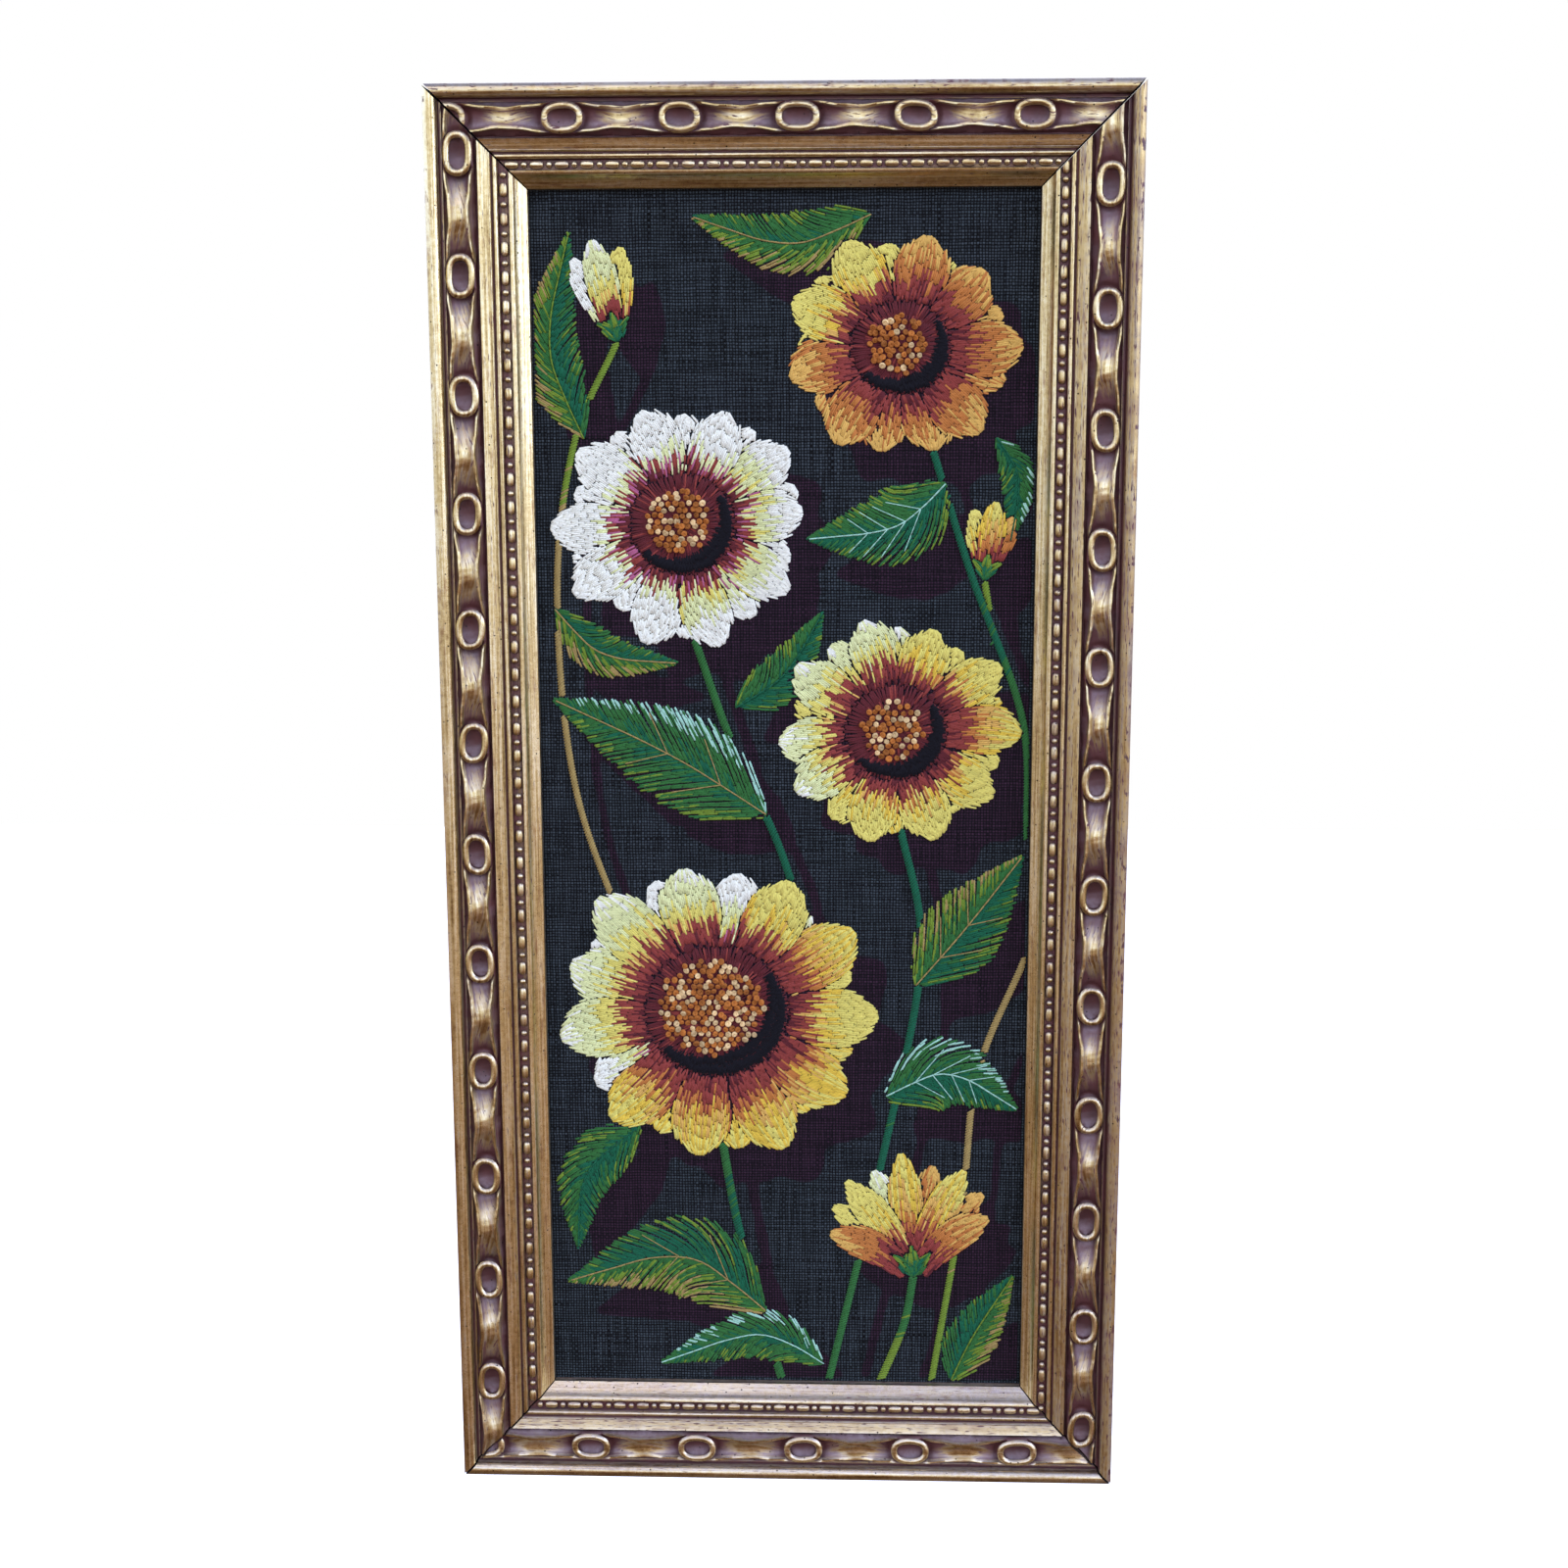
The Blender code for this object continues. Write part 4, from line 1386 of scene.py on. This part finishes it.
def placeStrands(rows):
    # each strand rises out of the cloth, lies flat and dives back in
    template = strandTemplate()
    shape = np.array([vert.co[:] for vert in template.verts])[None]
    start, end, width, lift = rows[:, 0:2], rows[:, 2:4], rows[:, 4:5], rows[:, 5:6]
    way = end - start
    length = np.linalg.norm(way, axis=1)
    way = way / length[:, None]
    side = np.stack([-way[:, 1], way[:, 0]], axis=1)
    middle = (start + end) / 2
    x = shape[..., 0] * (length[:, None] + needle["longer"])
    y = shape[..., 1] * width
    arch = needle["arch"] - needle["archDrop"] * np.abs(2 * shape[..., 0]) ** 4
    z = shape[..., 2] * needle["thick"] * (width / needle["strand"]) + arch + lift
    z = np.where(np.abs(shape[..., 0]) > 0.49, -needle["dive"], z)  # the two tips
    flat = [middle[:, a : a + 1] + x * way[:, a : a + 1] + y * side[:, a : a + 1] for a in (0, 1)]
    return template, np.stack([*flat, z], axis=-1), length


perMesh = 6000  # strands, which keeps a mesh under 200,000 triangles
rows = np.array(stitches)
for (name, first), (_, last) in zip(pieceStarts, [*pieceStarts[1:], ("", len(rows))]):
    for part, begin in enumerate(range(first, last, perMesh)):
        chunk = rows[begin : min(begin + perMesh, last)]
        template, places, length = placeStrands(chunk)
        joinCopies(f"wool_{name}_{part + 1}", template, places, chunk[:, 6:9], length)

knotRows = np.array(knots)
template = knotTemplate()
shape = np.array([vert.co[:] for vert in template.verts])[None]
size, turn = knotRows[:, 2:3] * eyeWork["knotTight"], knotRows[:, 3:4]
x = (shape[..., 0] * np.cos(turn) - shape[..., 1] * np.sin(turn)) * size
y = (shape[..., 0] * np.sin(turn) + shape[..., 1] * np.cos(turn)) * size
z = shape[..., 2] * size + knotRows[:, 4:5]
places = np.stack([knotRows[:, :1] + x, knotRows[:, 1:2] + y, z], axis=-1)
knotWool = np.full(len(knots), eyeWork["knotWool"])
joinCopies("wool_knots", template, places, knotRows[:, 5:8], knotWool)

# The cloth: a sheet with the needlework's shadows printed on it, down and to the right of each motif
cloth = dict(cell=1.5, shadowRight=12, shadowDown=14, soften=1.6)
right, down, reach = [round(cloth[key] / needle["cell"]) for key in ("shadowRight", "shadowDown", "soften")]
shadowMap = np.zeros(mapSize, np.float32)
shadowMap[right:, :-down] = worked[:-right, down:]
for _ in range(2):  # close the small gaps and soften the edge
    for axis in (0, 1):
        shadowMap = sum(np.roll(shadowMap, shift, axis) for shift in range(-reach, reach + 1))
        shadowMap = shadowMap / (2 * reach + 1)


def makeCloth():
    wide, tall = clothHigh.x - clothLow.x, clothHigh.z - clothLow.z
    columns, rows = [round(size / mm / cloth["cell"]) for size in (wide, tall)]
    bm = bmesh.new()
    bmesh.ops.create_grid(bm, x_segments=columns, y_segments=rows, size=0.5)
    bmesh.ops.scale(bm, vec=(wide, tall, 1), verts=bm.verts)
    plum = bm.verts.layers.float.new("plum")
    for vert in bm.verts:
        x, y = vert.co.x / mm, vert.co.y / mm
        if isInside(x, y):
            vert[plum] = float(shadowMap[cellOf(x, y)])
    made = bmesh.ops.extrude_edge_only(bm, edges=[edge for edge in bm.edges if edge.is_boundary])["geom"]
    for vert in vertsIn(made):
        vert.co.z = clothLow.y - clothHigh.y
    bmesh.ops.edgeloop_fill(bm, edges=[edge for edge in bm.edges if edge.is_boundary])
    uv = bm.loops.layers.uv.new("weave")
    for face in bm.faces:
        for loop in face.loops:
            loop[uv].uv = (loop.vert.co.x, loop.vert.co.y)
    bmesh.ops.recalc_face_normals(bm, faces=bm.faces)
    front = Matrix.Translation((clothMiddle.x, clothLow.y, clothMiddle.z))
    bmesh.ops.transform(bm, matrix=front @ Matrix.Rotation(math.pi / 2, 4, "X"), verts=bm.verts)
    return finishPiece("stretched_linen", bm, [linen])


stretchedLinen = makeCloth()
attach(stretchedLinen, "root")
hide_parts("embroidered_cloth")
print("cloth made")

# stage: pale floor well below, white all round
# the sky above lights the gilding cool, the ground below warm and dim
stage = dict(floorReach=6, floorBelow=0.9, floorColour="F6F5F2", floorGlow=0.55, leftGlow=0.84, rightGlow=1.2)
floorBm = bmesh.new()
bmesh.ops.create_grid(floorBm, x_segments=1, y_segments=1, size=stage["floorReach"])
bmesh.ops.translate(floorBm, vec=(0, 0, cadLow.z - stage["floorBelow"]), verts=floorBm.verts)
floorMaterial, _, floorShader = newMaterial("pale studio floor")
floorShader.inputs["Base Color"].default_value = toLinear(stage["floorColour"])
floorShader.inputs["Roughness"].default_value = 0.9
floorShader.inputs["Emission Color"].default_value = toLinear("FFFFFF")
floorShader.inputs["Emission Strength"].default_value = stage["floorGlow"]
floor = finishPiece("floor", floorBm, [floorMaterial])
floor.visible_glossy = floor.visible_diffuse = False

skyStops = [
    (0.0, (0.13, 0.08, 0.06, 1)),  # ground
    (0.27, (0.19, 0.072, 0.036, 1)),
    (0.40, (0.6, 0.368, 0.235, 1)),
    (0.51, (1.48, 1.65, 2.15, 1)),  # horizon
    (0.64, (1.9, 2.12, 2.9, 1)),
    (0.82, (0.85, 0.97, 1.5, 1)),
    (1.0, (0.3, 0.38, 0.65, 1)),  # overhead
]
world = bpy.data.worlds.new("soft studio")
bpy.context.scene.world = world
world.use_nodes = True
sky = world.node_tree
sky.nodes.clear()
way = addNode(sky, "ShaderNodeTexCoord").outputs["Generated"]
split = addNode(sky, "ShaderNodeSeparateXYZ", {0: way})
rise = addNode(sky, "ShaderNodeMapRange", {"Value": split.outputs[2], "From Min": -1, "From Max": 1})
glow = addNode(sky, "ShaderNodeValToRGB", {"Fac": rise}, stops=skyStops)
# a little brighter on the right
sideGlow = {"From Min": -1, "From Max": 1, "To Min": stage["leftGlow"], "To Max": stage["rightGlow"]}
strength = addNode(sky, "ShaderNodeMapRange", {"Value": split, **sideGlow})
softFill = addNode(sky, "ShaderNodeBackground", {"Color": glow, "Strength": strength})
plainWhite = addNode(sky, "ShaderNodeBackground", {"Color": (1, 1, 1, 1), "Strength": 1.0})
seen = addNode(sky, "ShaderNodeLightPath").outputs["Is Camera Ray"]
backdrop = addNode(sky, "ShaderNodeMixShader", {0: seen, 1: softFill, 2: plainWhite})
addNode(sky, "ShaderNodeOutputWorld", {"Surface": backdrop})
bpy.context.scene.view_settings.view_transform = "Standard"


def addLight(name, at, size, power, colour):
    data = bpy.data.lights.new(name, "AREA")
    data.shape = "RECTANGLE"
    data.size, data.size_y = size
    data.energy = power
    data.color = toLinear(colour)[:3]
    lamp = addObject(name, data)
    lamp.location = frameMiddle + Vector(at)
    lamp.rotation_euler = (-Vector(at)).to_track_quat("-Z", "Y").to_euler()
    lamp.visible_camera = False


addLight("window above", at=(-0.5, -1.0, 1.5), size=(1.2, 0.9), power=4, colour="FFF2DC")
addLight("blue window at the side", at=(1.2, -0.32, 0.47), size=(0.9, 0.7), power=6.5, colour="B4C8FF")
print("camera, lights and floor set")
